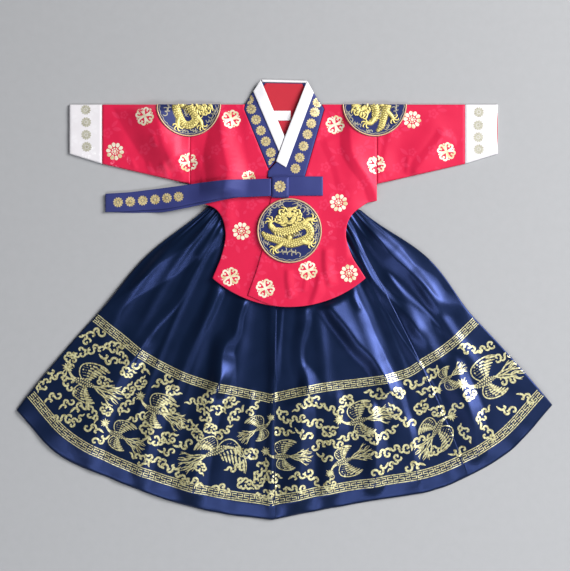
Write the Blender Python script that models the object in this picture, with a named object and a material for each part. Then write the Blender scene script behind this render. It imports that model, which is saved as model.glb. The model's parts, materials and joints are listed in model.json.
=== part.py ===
"""A child's hanbok laid flat: a red ceremonial jacket lying on its gathered navy skirt.

Every size below is in millimetres and is turned into metres when a mesh is made. The floor is z = 0. The
origin lies under the skirt on the jacket's centre line. +Y points from the hem to the collar, and +X is the
viewer's right, which is the wearer's left.
"""

import math

import bmesh
import bpy
from mathutils import Vector
from mathutils.geometry import delaunay_2d_cdt

MM = 0.001

# Cloth, and the room between pieces
WALL = 1.2
BAND_WALL = 1.6
TRIM_WALL = 1.0
SEAM_GAP = 0.3
LAYER_GAP = 0.4
APPLIED_GAP = 0.5

# The jacket's driving sizes, measured from its centre line and from the floor's origin
ARMHOLE_X = 139.5
CUFF_SEAM_X = 272.0
CUFF_END_X = 321.0
SHOULDER_Y = 293.0
ARMPIT_Y = 173.5
CUFF_SEAM_FOOT_Y = 204.0
CUFF_END_FOOT_Y = 219.0
SIDE_CORNER_Y = 148.5
HEM_CORNER_Y = 32.7
HEM_CENTRE_X = 8.3
HEM_HALF_WIDTH = 114.3
HEM_DROP = 43.0

# The side of the body below the armpit: height, half width, and how far the body leans to the wearer's left
SIDE_CURVE = (
    # y, half_width, lean
    (145.5, 125.5, 0.0),
    (138.5, 110.0, 5.0),
    (129.0, 99.3, 4.3),
    (117.0, 92.8, 3.3),
    (102.0, 89.9, 3.2),
    (90.0, 90.4, 3.4),
    (75.0, 94.2, 4.2),
    (60.0, 99.8, 5.2),
    (45.0, 107.8, 7.0),
)

# Soft folds of the jacket: both ends of the ridge, its half width and its height
JACKET_FOLDS = (
    # x0, y0, x1, y1, half_width, height
    (88.0, 235.0, 130.0, 158.0, 15.0, 2.4),
    (-222.0, 280.0, -170.0, 205.0, 20.0, 2.2),
    (228.0, 262.0, 192.0, 205.0, 17.0, 2.0),
    (-112.0, 232.0, -98.0, 190.0, 18.0, 1.6),
    (-252.0, 280.0, -236.0, 225.0, 14.0, 1.2),
    (62.0, 44.0, 50.0, 6.0, 12.0, 1.4),
)

# The jacket's back lies on the floor above the skirt and on the skirt's gathers below
STACK = 8.8
CLIMB_START_Y = 256.0
CLIMB_END_Y = 154.0
WAIST_HALF = 112.0
SIDE_DROP_X = (96.0, 145.0)
SIDE_DROP_Y = (122.0, 150.0)

# The loft that the collar and the lining give the fronts round the neck
NECK_LOFT = 2.4
NECK_LOFT_Y = (100.0, 200.0)
NECK_FOLD_TOP = (34.0, 330.0)
NECK_FOLD_FOOT = (58.0, 290.0)

# The fronts overlap: the underlap ends here, and the overlap steps down past it
UNDERLAP_EDGE_X = 20.0
STEP_DOWN_X = (26.0, 60.0)

# Tie, worn pre-tied: a knot, a short end and a long end that leaves the jacket and lies on the floor
KNOT = (-18.2, 152.6, 8.3, 183.4)
KNOT_WALL = 5.0
SHORT_END_X = 58.7
SHORT_END_Y = (155.3, 184.2)
TIE_LIFT = 0.6
TIE_LANDS_X = (-205.0, -136.0)
TIE_ROUTE = (
    # x, lower edge y, upper edge y
    (-18.6, 154.5, 180.8),
    (-48.0, 153.4, 179.8),
    (-80.0, 151.8, 178.4),
    (-106.0, 148.6, 176.4),
    (-128.0, 145.2, 174.4),
    (-155.0, 139.8, 170.8),
    (-180.0, 136.0, 167.6),
    (-205.0, 134.6, 164.6),
    (-232.0, 132.8, 161.4),
    (-267.0, 131.6, 159.2),
)

# How far the tie's lower end peeks out below the upper one, at the same places
UNDER_SHIFT = (-6.0, -2.0, 1.0, 3.0, 4.0, 4.2, 4.5, 3.5, 2.0, -0.5)

# Roundels
ROUNDEL_R = 48.4
CHEST_ROUNDEL = (8.9, 103.4)
SHOULDER_ROUNDEL_X = (-141.6, 136.4)
ROUNDEL_SIDES = 40

# Skirt: stations round the front from its right fold to its left fold, each a line from the waist to the hem
SKIRT_STATIONS = (
    # waist_x, waist_y, border_x, border_y, hem_x, hem_y
    (-112.6, 139.5, -279.8, -22.5, -399.8, -165.0),
    (-99.8, 139.7, -245.3, -49.5, -338.3, -231.0),
    (-83.3, 139.7, -200.3, -84.0, -260.3, -267.0),
    (-62.3, 139.7, -140.3, -114.0, -177.8, -298.5),
    (-38.3, 139.7, -77.3, -132.0, -98.3, -318.8),
    (-9.8, 139.7, -18.8, -145.5, -17.3, -329.3),
    (12.8, 139.7, 54.8, -130.5, 62.3, -313.5),
    (38.3, 139.7, 132.8, -120.8, 141.8, -299.3),
    (62.3, 139.7, 182.3, -109.5, 219.8, -286.5),
    (81.8, 139.7, 206.8, -95.0, 279.8, -262.5),
    (99.8, 139.4, 246.8, -69.0, 342.8, -223.5),
    (116.0, 134.5, 288.8, -30.0, 402.8, -157.5),
)
CENTRE_STATION = 5
BORDER_T = 0.55
SIDE_BULGE = 15.0
SPAN_COLUMNS = 6
SKIRT_ROWS = 16
SKIRT_BED = 4.4
SKIRT_FLOOR = 2.9

# The highest that the skirt's folds may stand, by the share of the way down
SKIRT_CREST = (
    # t, height
    (0.0, 7.6),
    (0.08, 8.3),
    (0.34, 8.3),
    (0.5, 12.0),
    (0.75, 11.0),
    (1.0, 8.5),
)

# Ridges and troughs of the skirt, by station at the waist and at the hem
SKIRT_FOLDS = (
    # waist_station, hem_station, half_width, height, starts, ends
    (0.55, 0.75, 13.0, 5.0, 0.10, 0.62),
    (1.35, 1.55, 10.0, 4.2, 0.06, 0.50),
    (2.30, 2.15, 6.0, 4.0, 0.12, 0.78),
    (3.10, 2.95, 12.0, 5.2, 0.20, 0.95),
    (4.15, 3.90, 15.0, 5.6, 0.22, 1.05),
    (5.08, 5.06, 5.0, 5.6, 0.10, 1.20),
    (5.60, 5.45, 12.0, -1.6, 0.25, 1.10),
    (6.25, 5.95, 12.0, 5.2, 0.22, 1.00),
    (7.20, 7.35, 17.0, 6.6, 0.18, 0.92),
    (7.95, 8.10, 9.0, 4.0, 0.12, 0.60),
    (8.95, 8.90, 5.5, 5.4, 0.08, 1.15),
    (9.40, 9.60, 13.0, 5.2, 0.30, 0.80),
    (10.25, 10.30, 12.0, 6.4, 0.06, 0.70),
    (1.60, 0.90, 24.0, 3.4, 0.60, 1.25),
    (2.80, 2.30, 26.0, 2.8, 0.62, 1.30),
    (6.60, 6.80, 26.0, 3.0, 0.62, 1.30),
    (9.80, 9.90, 24.0, 3.2, 0.60, 1.30),
)
GATHERS = 22
GATHER_HEIGHT = 1.7
GATHER_FADE = 0.42

# Waistband under the jacket
BAND_TOP_Y = 168.0
BAND_FOOT_Y = 140.6
BAND_HEIGHT = 6.0

PANEL_STEP = 15.0
TRIM_STEP = 8.0


def smooth(start, end, value):
    """A share from 0 at start to 1 at end with flat ends; start may be the larger."""
    share = min(1.0, max(0.0, (value - start) / (end - start)))
    return share * share * (3.0 - 2.0 * share)


def lerp(low, high, share):
    """The value that lies share of the way from low to high."""
    return low + (high - low) * share


def table_value(table, key):
    """A value read from rows of (key, value) with straight runs between them."""
    for (k0, v0), (k1, v1) in zip(table, table[1:]):
        if key <= k1:
            return lerp(v0, v1, (key - k0) / (k1 - k0))
    return table[-1][1]


def curve_through(values, position):
    """A smooth run through evenly numbered values, read at a position among them."""
    last = len(values) - 1
    index = min(last - 1, max(0, int(position)))
    share = position - index
    b, c = values[index], values[index + 1]
    a = values[index - 1] if index > 0 else 2 * b - c
    d = values[index + 2] if index + 2 <= last else 2 * c - b
    return 0.5 * (
        2 * b
        + (c - a) * share
        + (2 * a - 5 * b + 4 * c - d) * share**2
        + (3 * b - a - 3 * c + d) * share**3
    )


def ridge(x, y, x0, y0, x1, y1, half_width):
    """A soft ridge of height 1 along a straight line, fading out at both ends."""
    dx, dy = x1 - x0, y1 - y0
    length = math.hypot(dx, dy)
    along = ((x - x0) * dx + (y - y0) * dy) / length**2
    across = ((x - x0) * dy - (y - y0) * dx) / length
    ends = smooth(-0.35, 0.25, along) * smooth(1.35, 0.75, along)
    return math.exp(-((across / half_width) ** 2)) * ends


def skirt_lift(x, y):
    """How high the jacket's back lies: on the floor at the shoulders, on the skirt's gathers below."""
    climb = smooth(CLIMB_START_Y, CLIMB_END_Y, y)
    drop = smooth(*SIDE_DROP_X, abs(x)) * smooth(*SIDE_DROP_Y, y)
    return STACK * climb * (1.0 - drop)


def neck_fold_distance(x, y):
    """How far a point lies inside the line where the collar folds over to the back."""
    (x0, y0), (x1, y1) = NECK_FOLD_TOP, NECK_FOLD_FOOT
    dx, dy = x1 - x0, y1 - y0
    return ((abs(x) - x0) * dy - (y - y0) * dx) / math.hypot(dx, dy)


def loft(x, y):
    """The air between the jacket's back and its fronts: soft folds, and the collar's thickness."""
    folds = sum(height * ridge(x, y, *ends, width) for *ends, width, height in JACKET_FOLDS)
    neck = NECK_LOFT * smooth(88.0, 50.0, abs(x)) * smooth(*NECK_LOFT_Y, y)
    return folds * smooth(SHOULDER_Y, SHOULDER_Y - 30.0, y) + neck * smooth(-6.0, 20.0, neck_fold_distance(x, y))


def back_top(x, y):
    """The upper face of the jacket's back."""
    return skirt_lift(x, y) + WALL


def front_top(x, y):
    """The upper face of the sleeves and of the underlapping front."""
    return back_top(x, y) + LAYER_GAP + WALL + loft(x, y)


def over_top(x, y):
    """The upper face of the overlapping front, which steps up on the underlap."""
    return front_top(x, y) + (WALL + LAYER_GAP) * smooth(STEP_DOWN_X[1], STEP_DOWN_X[0], x)


def right_collar_foot(x, y):
    """The underside of the wearer's right collar, level with the front it is sewn to."""
    return front_top(x, y) - WALL


def left_collar_foot(x, y):
    """The underside of the wearer's left collar, level with the overlapping front."""
    return over_top(x, y) - WALL


def tie_foot(x, y):
    """The underside of the tie: on the jacket, then down to the floor beside it."""
    return (over_top(x, y) + TIE_LIFT) * smooth(*TIE_LANDS_X, x)


def upper_tie_foot(x, y):
    """The underside of the long end, which lies on the end that is almost hidden."""
    return tie_foot(x, y) + BAND_WALL + 2 * LAYER_GAP


def hem_y(x):
    """The jacket's curved hem."""
    radius = (HEM_HALF_WIDTH**2 + HEM_DROP**2) / (2 * HEM_DROP)
    return HEM_CORNER_Y - HEM_DROP + radius - math.sqrt(radius**2 - (x - HEM_CENTRE_X) ** 2)


def hem_run(x_from, x_to, steps, lift=lambda x: 0.0):
    """Points along the jacket's hem."""
    spread = [lerp(x_from, x_to, i / steps) for i in range(steps + 1)]
    return [(x, hem_y(x) + lift(x)) for x in spread]


def body_side(side):
    """The jacket's side from the armpit's corner down to the hem's corner; side is -1 or 1."""
    corner = [(side * ARMHOLE_X, SIDE_CORNER_Y)]
    return corner + [(side * half + lean, y) for y, half, lean in SIDE_CURVE]


def split_edges(outline, step):
    """An outline with points added so that no edge is much longer than step."""
    points = []
    for (x0, y0), (x1, y1) in zip(outline, outline[1:] + outline[:1]):
        parts = max(1, round(math.hypot(x1 - x0, y1 - y0) / step))
        points += [(lerp(x0, x1, i / parts), lerp(y0, y1, i / parts)) for i in range(parts)]
    return points


def edge_distance(x, y, outline):
    """The distance from a point to an outline, negative outside it."""
    best, inside = 1e9, False
    for (x0, y0), (x1, y1) in zip(outline, outline[1:] + outline[:1]):
        dx, dy = x1 - x0, y1 - y0
        share = min(1.0, max(0.0, ((x - x0) * dx + (y - y0) * dy) / (dx * dx + dy * dy)))
        best = min(best, math.hypot(x - x0 - share * dx, y - y0 - share * dy))
        if (y0 > y) != (y1 > y) and x < x0 + (y - y0) * dx / dy:
            inside = not inside
    return best if inside else -best


def inner_points(outline, step):
    """Points of one shared triangular grid that lie inside an outline, clear of its edge."""
    row_height = step * math.sqrt(3) / 2
    xs, ys = [p[0] for p in outline], [p[1] for p in outline]
    found = []
    for row in range(math.floor(min(ys) / row_height), math.ceil(max(ys) / row_height) + 1):
        for column in range(math.floor(min(xs) / step) - 1, math.ceil(max(xs) / step) + 1):
            x, y = (column + 0.5 * (row % 2)) * step, row * row_height
            if edge_distance(x, y, outline) > 0.45 * step:
                found.append((x, y))
    return found


def finish_object(name, bm, colour, roughness=0.5):
    """Turns a bmesh in millimetres into a named object with its own material."""
    bmesh.ops.scale(bm, vec=(MM, MM, MM), verts=bm.verts)
    bmesh.ops.recalc_face_normals(bm, faces=bm.faces)
    mesh = bpy.data.meshes.new(name)
    bm.to_mesh(mesh)
    bm.free()
    mesh.shade_smooth()
    mesh.set_sharp_from_angle(angle=math.radians(35))
    material = bpy.data.materials.new(name)
    material.use_nodes = True
    shader = material.node_tree.nodes["Principled BSDF"]
    shader.inputs["Base Color"].default_value = (*colour, 1.0)
    shader.inputs["Roughness"].default_value = roughness
    mesh.materials.append(material)
    made = bpy.data.objects.new(name, mesh)
    bpy.context.scene.collection.objects.link(made)
    return made


def cloth_panel(name, outline, foot, wall, colour, step=PANEL_STEP):
    """A cut piece of cloth: an outline filled with triangles, laid at foot(x, y) and one wall thick."""
    edge = split_edges(outline, step)
    points = [Vector(p) for p in edge + inner_points(edge, step)]
    flat, _, faces, *_ = delaunay_2d_cdt(points, [], [list(range(len(edge)))], 1, 1e-6)
    bm = bmesh.new()
    lower = [bm.verts.new((p.x, p.y, foot(p.x, p.y))) for p in flat]
    upper = [bm.verts.new((p.x, p.y, foot(p.x, p.y) + wall)) for p in flat]
    for face in faces:
        bm.faces.new([upper[i] for i in face])
        bm.faces.new([lower[i] for i in reversed(face)])
    rim = [e for e in bm.edges if len(e.link_faces) == 1 and e.verts[0] in set(lower)]
    pair = {low: high for low, high in zip(lower, upper)}
    for edge_line in rim:
        a, b = edge_line.verts
        bm.faces.new((a, b, pair[b], pair[a]))
    return finish_object(name, bm, colour)


def wall_between(name, outer, inner, colour):
    """A wall between two stacks of closed rings, open at both ends."""
    bm = bmesh.new()
    out = [[bm.verts.new(p) for p in ring] for ring in outer]
    inn = [[bm.verts.new(p) for p in ring] for ring in inner]
    count = len(out[0])
    for stack in (out, inn):
        for first, second in zip(stack, stack[1:]):
            for i in range(count):
                j = (i + 1) % count
                bm.faces.new((first[i], first[j], second[j], second[i]))
    for end in (0, -1):
        for i in range(count):
            j = (i + 1) % count
            bm.faces.new((out[end][i], out[end][j], inn[end][j], inn[end][i]))
    return finish_object(name, bm, colour)


def flat_sleeve_ring(x, foot_y, top_y, inset):
    """One ring of a sleeve pressed flat: along the floor, round the shoulder fold and back over the top."""
    floor_steps, top_steps = 5, 9
    low, high = foot_y + inset, top_y - inset
    corner = 0.9
    ring = []
    for i in range(floor_steps + 1):
        ring.append((x, lerp(low + corner, high - corner, i / floor_steps), inset))
    height_at = lambda y: front_top(x, y) - inset
    ring.append((x, high, lerp(inset, height_at(high), 0.5)))
    for i in range(top_steps + 1):
        y = lerp(high - corner, low + corner, i / top_steps)
        ring.append((x, y, height_at(y)))
    ring.append((x, low, lerp(inset, height_at(low), 0.5)))
    return ring


def sleeve_piece(name, side, x_from, x_to, rings, colour):
    """A stretch of a sleeve between two distances from the centre line; side is -1 or 1."""
    def foot_at(x):
        if x <= CUFF_SEAM_X:
            return lerp(ARMPIT_Y, CUFF_SEAM_FOOT_Y, (x - ARMHOLE_X) / (CUFF_SEAM_X - ARMHOLE_X))
        share = (x - CUFF_SEAM_X) / (CUFF_END_X - CUFF_SEAM_X)
        return lerp(CUFF_SEAM_FOOT_Y, CUFF_END_FOOT_Y, share)

    places = [lerp(x_from, x_to, i / rings) for i in range(rings + 1)]
    outer = [flat_sleeve_ring(side * x, foot_at(x), SHOULDER_Y, 0.0) for x in places]
    inner = [flat_sleeve_ring(side * x, foot_at(x), SHOULDER_Y, WALL) for x in places]
    return wall_between(name, outer, inner, colour)


def skirt_place(station, t):
    """A point of the skirt's outline plane, from its station round the front and its share t down."""
    if station <= CENTRE_STATION:
        rows, position = SKIRT_STATIONS[: CENTRE_STATION + 1], station
    else:
        rows, position = SKIRT_STATIONS[CENTRE_STATION:], station - CENTRE_STATION
    wx, wy, bx, by, hx, hy = (curve_through([row[k] for row in rows], position) for k in range(6))
    waist = (t - BORDER_T) * (t - 1.0) / BORDER_T
    border = t * (t - 1.0) / (BORDER_T * (BORDER_T - 1.0))
    hem = t * (t - BORDER_T) / (1.0 - BORDER_T)
    bulge = SIDE_BULGE * smooth(9.0, 11.0, station) * math.sin(math.pi * min(1.0, t / BORDER_T)) ** 2
    return (
        waist * wx + border * bx + hem * hx + 0.7 * bulge,
        waist * wy + border * by + hem * hy + 0.7 * bulge,
    )


def skirt_fold_sum(station, t):
    """The height that ridges, troughs and the gathers at the waist add to the skirt's bed."""
    total = 0.0
    left = skirt_place(max(0.0, station - 0.25), t)
    right = skirt_place(min(11.0, station + 0.25), t)
    spacing = math.dist(left, right) / (min(11.0, station + 0.25) - max(0.0, station - 0.25))
    for waist_at, hem_at, half_width, height, starts, ends in SKIRT_FOLDS:
        away = (station - lerp(waist_at, hem_at, t)) * spacing
        width = half_width * lerp(0.55, 1.2, t)
        strength = smooth(starts - 0.12, starts + 0.12, t) * smooth(ends + 0.12, ends - 0.12, t)
        total += height * strength * math.exp(-((away / width) ** 2))
    gather = math.cos(2 * math.pi * GATHERS * station / 11.0) + 0.6
    return total + GATHER_HEIGHT * gather * smooth(GATHER_FADE, 0.0, t)


def skirt_top(station, t):
    """The upper face of the skirt's front, kept between its back and the highest crest allowed."""
    low, high = SKIRT_FLOOR, table_value(SKIRT_CREST, t)
    sides = smooth(0.0, 0.8, station) * smooth(11.0, 10.2, station)
    wanted = SKIRT_BED + skirt_fold_sum(station, t) * lerp(0.35, 1.0, sides)
    middle, half = 0.5 * (low + high), 0.5 * (high - low)
    return middle + half * math.tanh((wanted - middle) / half)


def make_skirt_front(colour):
    """The skirt's front: a wavy wall from waist to hem whose two side folds turn down to the floor."""
    stations = [i / SPAN_COLUMNS for i in range(11 * SPAN_COLUMNS + 1)]
    outer, inner = [], []
    for row in range(SKIRT_ROWS + 1):
        t = row / SKIRT_ROWS
        top = [(*skirt_place(s, t), skirt_top(s, t)) for s in stations]
        under = [(x, y, z - WALL) for x, y, z in top]
        turned = []
        for end, towards in ((0, 1), (-1, -2)):
            x, y, z = top[end]
            step = Vector(top[towards][:2]) - Vector((x, y))
            step.normalize()
            turned.append((
                [(x, y, 0.0), (x, y, z - 0.9), (x + step.x, y + step.y, z)],
                [(x + WALL * step.x, y + WALL * step.y, 0.0),
                 (x + WALL * step.x, y + WALL * step.y, z - 1.6),
                 (x + 2 * step.x, y + 2 * step.y, z - WALL)],
            ))
        outer.append(turned[0][0] + top[1:-1] + turned[1][0][::-1])
        inner.append(turned[0][1] + under[1:-1] + turned[1][1][::-1])
    bm = bmesh.new()
    out = [[bm.verts.new(p) for p in line] for line in outer]
    inn = [[bm.verts.new(p) for p in line] for line in inner]
    last = len(out[0]) - 1
    for grid in (out, inn):
        for first, second in zip(grid, grid[1:]):
            for i in range(last):
                bm.faces.new((first[i], first[i + 1], second[i + 1], second[i]))
    for end in (0, -1):
        for i in range(last):
            bm.faces.new((out[end][i], out[end][i + 1], inn[end][i + 1], inn[end][i]))
        for a, b in zip(range(len(out)), range(1, len(out))):
            bm.faces.new((out[a][end], out[b][end], inn[b][end], inn[a][end]))
    return finish_object("skirt_front", bm, colour, 0.35)


def make_skirt_back(colour):
    """The skirt's back: flat on the floor, cut just inside the front's side folds."""
    inset = WALL + 3 * SEAM_GAP
    stations = [i / 2 for i in range(1, 22)]
    waist = [skirt_place(s, 0.0) for s in stations]
    hem = [skirt_place(s, 1.0) for s in reversed(stations)]
    downs = [row / SKIRT_ROWS for row in range(1, SKIRT_ROWS)]
    right_side = [skirt_place(11.0, t) for t in downs]
    left_side = [skirt_place(0.0, t) for t in reversed(downs)]
    outline = waist + right_side + hem + left_side
    moved = []
    for before, here, after in zip(outline[-1:] + outline[:-1], outline, outline[1:] + outline[:1]):
        run = Vector(after) - Vector(before)
        run.normalize()
        moved.append((here[0] + inset * run.y, here[1] - inset * run.x))
    return cloth_panel("skirt_back", moved, lambda x, y: 0.0, WALL, colour, step=60.0)


def make_waistband(colour):
    """The band that the skirt is gathered into, pressed flat under the jacket."""
    def ring(y, inset):
        half, top = WAIST_HALF - inset, BAND_HEIGHT - inset
        loop = [(lerp(-half + 2, half - 2, i / 8), y, inset) for i in range(9)]
        loop.append((half, y, 0.5 * BAND_HEIGHT))
        loop += [(lerp(half - 2, -half + 2, i / 8), y, top) for i in range(9)]
        loop.append((-half, y, 0.5 * BAND_HEIGHT))
        return loop

    rows = (BAND_FOOT_Y, 0.5 * (BAND_FOOT_Y + BAND_TOP_Y), BAND_TOP_Y)
    return wall_between(
        "waistband", [ring(y, 0.0) for y in rows], [ring(y, BAND_WALL) for y in rows], colour
    )


def make_jacket_back(colour):
    """The jacket's back, from the shoulder line to the curved hem."""
    left, right = -HEM_HALF_WIDTH + HEM_CENTRE_X, HEM_HALF_WIDTH + HEM_CENTRE_X
    outline = (
        [(-ARMHOLE_X, SHOULDER_Y)] + body_side(-1) + hem_run(left, right, 20)
        + body_side(1)[::-1] + [(ARMHOLE_X, SHOULDER_Y)]
    )
    return cloth_panel("jacket_back", outline, skirt_lift, WALL, colour)


def make_right_front(colour):
    """The wearer's right front, whose inner edge is hidden under the left one."""
    left = -HEM_HALF_WIDTH + HEM_CENTRE_X
    outline = (
        [(-ARMHOLE_X, SHOULDER_Y)] + body_side(-1) + hem_run(left, UNDERLAP_EDGE_X, 12)
        + [(UNDERLAP_EDGE_X, 180.0), (-19.2, 187.4), (-22.6, 195.0), (-59.4, 286.1), (-57.9, SHOULDER_Y)]
    )
    return cloth_panel("jacket_front_right", outline, lambda x, y: front_top(x, y) - WALL, WALL, colour)


def make_left_front(colour):
    """The wearer's left front, which closes over the right one."""
    edge_foot_x, corner_rise = -53.6, 5.8
    right = HEM_HALF_WIDTH + HEM_CENTRE_X
    outline = (
        [(-18.8, 184.6), (-18.8, 153.0), (-31.5, 75.0)]
        + hem_run(edge_foot_x, right, 16, lambda x: corner_rise * smooth(-8.0, edge_foot_x, x))
        + body_side(1)[::-1]
        + [(ARMHOLE_X, SHOULDER_Y), (57.3, SHOULDER_Y), (61.2, 286.0), (32.0, 184.6)]
    )
    return cloth_panel("jacket_front_left", outline, lambda x, y: over_top(x, y) - WALL, WALL, colour)


def make_collar(navy, white, lining):
    """The collar band, its stiff white edging, and the lining that shows inside the neck."""
    cloth_panel(
        "collar_back",
        [(-56.6, 293.6), (-46.6, 310.2), (-35.4, 326.0), (35.6, 324.8), (46.2, 308.7), (55.6, 293.6)],
        lambda x, y: 0.0, WALL, navy,
    )
    cloth_panel(
        "neck_lining",
        [(-27.0, 325.0), (28.0, 324.0), (44.0, 297.0), (30.0, 222.0), (6.0, 200.0), (-14.0, 204.0),
         (-45.0, 297.0)],
        lambda x, y: back_top(x, y) + LAYER_GAP, TRIM_WALL, lining,
    )
    cloth_panel(
        "collar_right",
        [(-46.8, 310.2), (-57.3, 293.0), (-59.1, 286.0), (-22.3, 195.9), (-12.7, 207.0), (-10.6, 209.0),
         (0.9, 241.0), (-34.5, 324.0)],
        right_collar_foot, BAND_WALL, navy, TRIM_STEP,
    )
    cloth_panel(
        "collar_left",
        [(46.4, 308.7), (34.6, 323.0), (2.6, 244.0), (-10.0, 206.5), (-12.3, 204.3), (-23.3, 192.0),
         (-23.6, 185.2), (31.7, 185.2), (60.7, 286.0), (56.6, 293.2)],
        left_collar_foot, BAND_WALL, navy, TRIM_STEP,
    )
    cloth_panel(
        "neckband_right",
        [(-45.3, 312.3), (-34.2, 329.6), (-32.8, 326.4), (1.6, 244.3), (-6.7, 221.6)],
        lambda x, y: right_collar_foot(x, y) + BAND_WALL + LAYER_GAP, TRIM_WALL, white, TRIM_STEP,
    )
    cloth_panel(
        "neckband_left",
        [(45.3, 310.2), (35.6, 327.6), (34.0, 324.6), (2.1, 243.9), (-11.1, 207.0), (3.8, 197.7)],
        lambda x, y: left_collar_foot(x, y) + BAND_WALL + LAYER_GAP, TRIM_WALL, white, TRIM_STEP,
    )
    cloth_panel(
        "neckband_back",
        [(-33.2, 330.6), (-32.2, 326.6), (33.4, 325.4), (34.8, 328.6)],
        lambda x, y: 0.0, 2.6, white,
    )
    cloth_panel(
        "size_label",
        [(-18.0, 283.4), (-18.0, 268.8), (10.6, 268.8), (10.6, 283.4)],
        lambda x, y: back_top(x, y) + LAYER_GAP + TRIM_WALL + SEAM_GAP, 0.8, white,
    )


def make_tie(colour):
    """The tie: a long end over a hidden one, a knot and a short end, all of doubled ribbon."""
    lower = [(x, low) for x, low, _ in TIE_ROUTE]
    upper = [(x, high) for x, _, high in TIE_ROUTE]
    cloth_panel("tie_long", upper + lower[::-1], upper_tie_foot, BAND_WALL, colour, TRIM_STEP)
    hidden = [(x, low + 12.0) for x, low, _ in TIE_ROUTE]
    peeking = [(x, low - shift) for (x, low, _), shift in zip(TIE_ROUTE, UNDER_SHIFT)]
    cloth_panel("tie_under", hidden + peeking[::-1], tie_foot, BAND_WALL, colour, TRIM_STEP)
    x0, y0, x1, y1 = KNOT
    cloth_panel("tie_knot", [(x0, y0), (x1, y0), (x1, y1), (x0, y1)], tie_foot, KNOT_WALL, colour)
    left, (low, high) = x1 + LAYER_GAP, SHORT_END_Y
    cloth_panel(
        "tie_short", [(left, low), (SHORT_END_X, low), (SHORT_END_X, high), (left, high)],
        tie_foot, BAND_WALL, colour,
    )


def make_roundels(colour):
    """The applied roundels: a whole one on the chest and one folded over each shoulder."""
    def arc(cx, cy, start, end, sides):
        turns = [math.radians(lerp(start, end, i / sides)) for i in range(sides + 1)]
        return [(cx + ROUNDEL_R * math.cos(a), cy + ROUNDEL_R * math.sin(a)) for a in turns]

    whole = arc(*CHEST_ROUNDEL, 0, 360, ROUNDEL_SIDES)[:-1]
    cloth_panel("roundel_chest", whole, lambda x, y: over_top(x, y) + APPLIED_GAP, TRIM_WALL, colour)
    for name, x in zip(("roundel_shoulder_right", "roundel_shoulder_left"), SHOULDER_ROUNDEL_X):
        half = arc(x, SHOULDER_Y, 180, 360, ROUNDEL_SIDES // 2)
        cloth_panel(name, half, lambda x, y: front_top(x, y) + APPLIED_GAP, TRIM_WALL, colour)


def make_sleeves(red, white):
    """Both sleeves and their white cuffs, each a flattened tube folded at the shoulder line."""
    for word, side in (("right", -1), ("left", 1)):
        start, seam = ARMHOLE_X + SEAM_GAP, CUFF_SEAM_X - SEAM_GAP
        sleeve_piece(f"sleeve_{word}", side, start, seam, 11, red)
        sleeve_piece(f"cuff_{word}", side, CUFF_SEAM_X, CUFF_END_X, 4, white)


def main():
    """Builds every piece of the garment."""
    for old in list(bpy.data.objects):
        bpy.data.objects.remove(old)
    navy_satin, navy_ribbon = (0.012, 0.020, 0.075), (0.035, 0.050, 0.170)
    red_silk, red_lining, white = (0.72, 0.020, 0.075), (0.60, 0.030, 0.060), (0.86, 0.85, 0.87)
    make_skirt_back(navy_satin)
    make_skirt_front(navy_satin)
    make_waistband(navy_satin)
    make_jacket_back(red_silk)
    make_right_front(red_silk)
    make_left_front(red_silk)
    make_sleeves(red_silk, white)
    make_collar(navy_ribbon, white, red_lining)
    make_tie(navy_ribbon)
    make_roundels((0.045, 0.050, 0.120))


main()
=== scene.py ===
"""Dresses a child's hanbok that lies flat: red jacquard jacket, navy satin skirt, gold foil and thread.

Sizes are in millimetres and become metres when a mesh is made. The frame is the solids' own: the floor is
z = 0, +X is the viewer's right and +Y points from the hem to the collar. Places read off the photograph are
in its pixels, and one pixel is 1.5 mm.
"""

from __future__ import annotations

import json
import logging
import math
from dataclasses import dataclass, field
from enum import Enum
from typing import Callable, Iterable, NamedTuple, Sequence

import bpy
import numpy as np
from bpy.types import Material, Node, NodeSocket, NodeTree, Object
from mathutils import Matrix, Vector
from mathutils.geometry import delaunay_2d_cdt

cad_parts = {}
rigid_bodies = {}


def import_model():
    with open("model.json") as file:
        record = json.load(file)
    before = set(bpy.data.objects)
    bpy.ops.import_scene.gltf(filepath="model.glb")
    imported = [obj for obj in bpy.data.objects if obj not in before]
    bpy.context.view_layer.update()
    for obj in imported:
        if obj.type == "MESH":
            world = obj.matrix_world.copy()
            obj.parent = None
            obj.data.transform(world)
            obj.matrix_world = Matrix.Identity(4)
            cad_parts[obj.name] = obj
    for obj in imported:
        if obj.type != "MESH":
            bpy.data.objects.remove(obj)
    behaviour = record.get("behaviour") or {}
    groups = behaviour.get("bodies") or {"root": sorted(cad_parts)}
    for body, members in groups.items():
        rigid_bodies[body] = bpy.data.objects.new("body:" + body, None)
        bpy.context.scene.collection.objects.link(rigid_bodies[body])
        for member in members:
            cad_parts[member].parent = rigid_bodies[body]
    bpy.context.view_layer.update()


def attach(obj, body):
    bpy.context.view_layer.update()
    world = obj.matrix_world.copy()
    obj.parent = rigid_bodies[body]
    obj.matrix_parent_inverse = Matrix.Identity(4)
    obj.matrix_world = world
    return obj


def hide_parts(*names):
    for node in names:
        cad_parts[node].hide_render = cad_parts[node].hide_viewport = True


LOG = logging.getLogger("hanbok")
MM = 0.001
PIXEL = 1.5
PHOTO_CENTRE = (283.5, 300.0)
SEED = 11
# the thinnest stroke; the height, in metres, that ornaments are dropped through; a fold's share at each end
THINNEST = 0.12
DROP = 0.4
FOLD_END = 0.14

Array = np.ndarray
Point = tuple[float, float]
Height = Callable[[Array, Array], Array]
Colour = tuple[float, float, float]
Sockets = bpy.types.bpy_prop_collection


class Hold(Enum):
    """How a piece of cloth is held."""

    LAID = "laid"
    GATHERED = "gathered"
    FOLDED = "folded"


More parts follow.
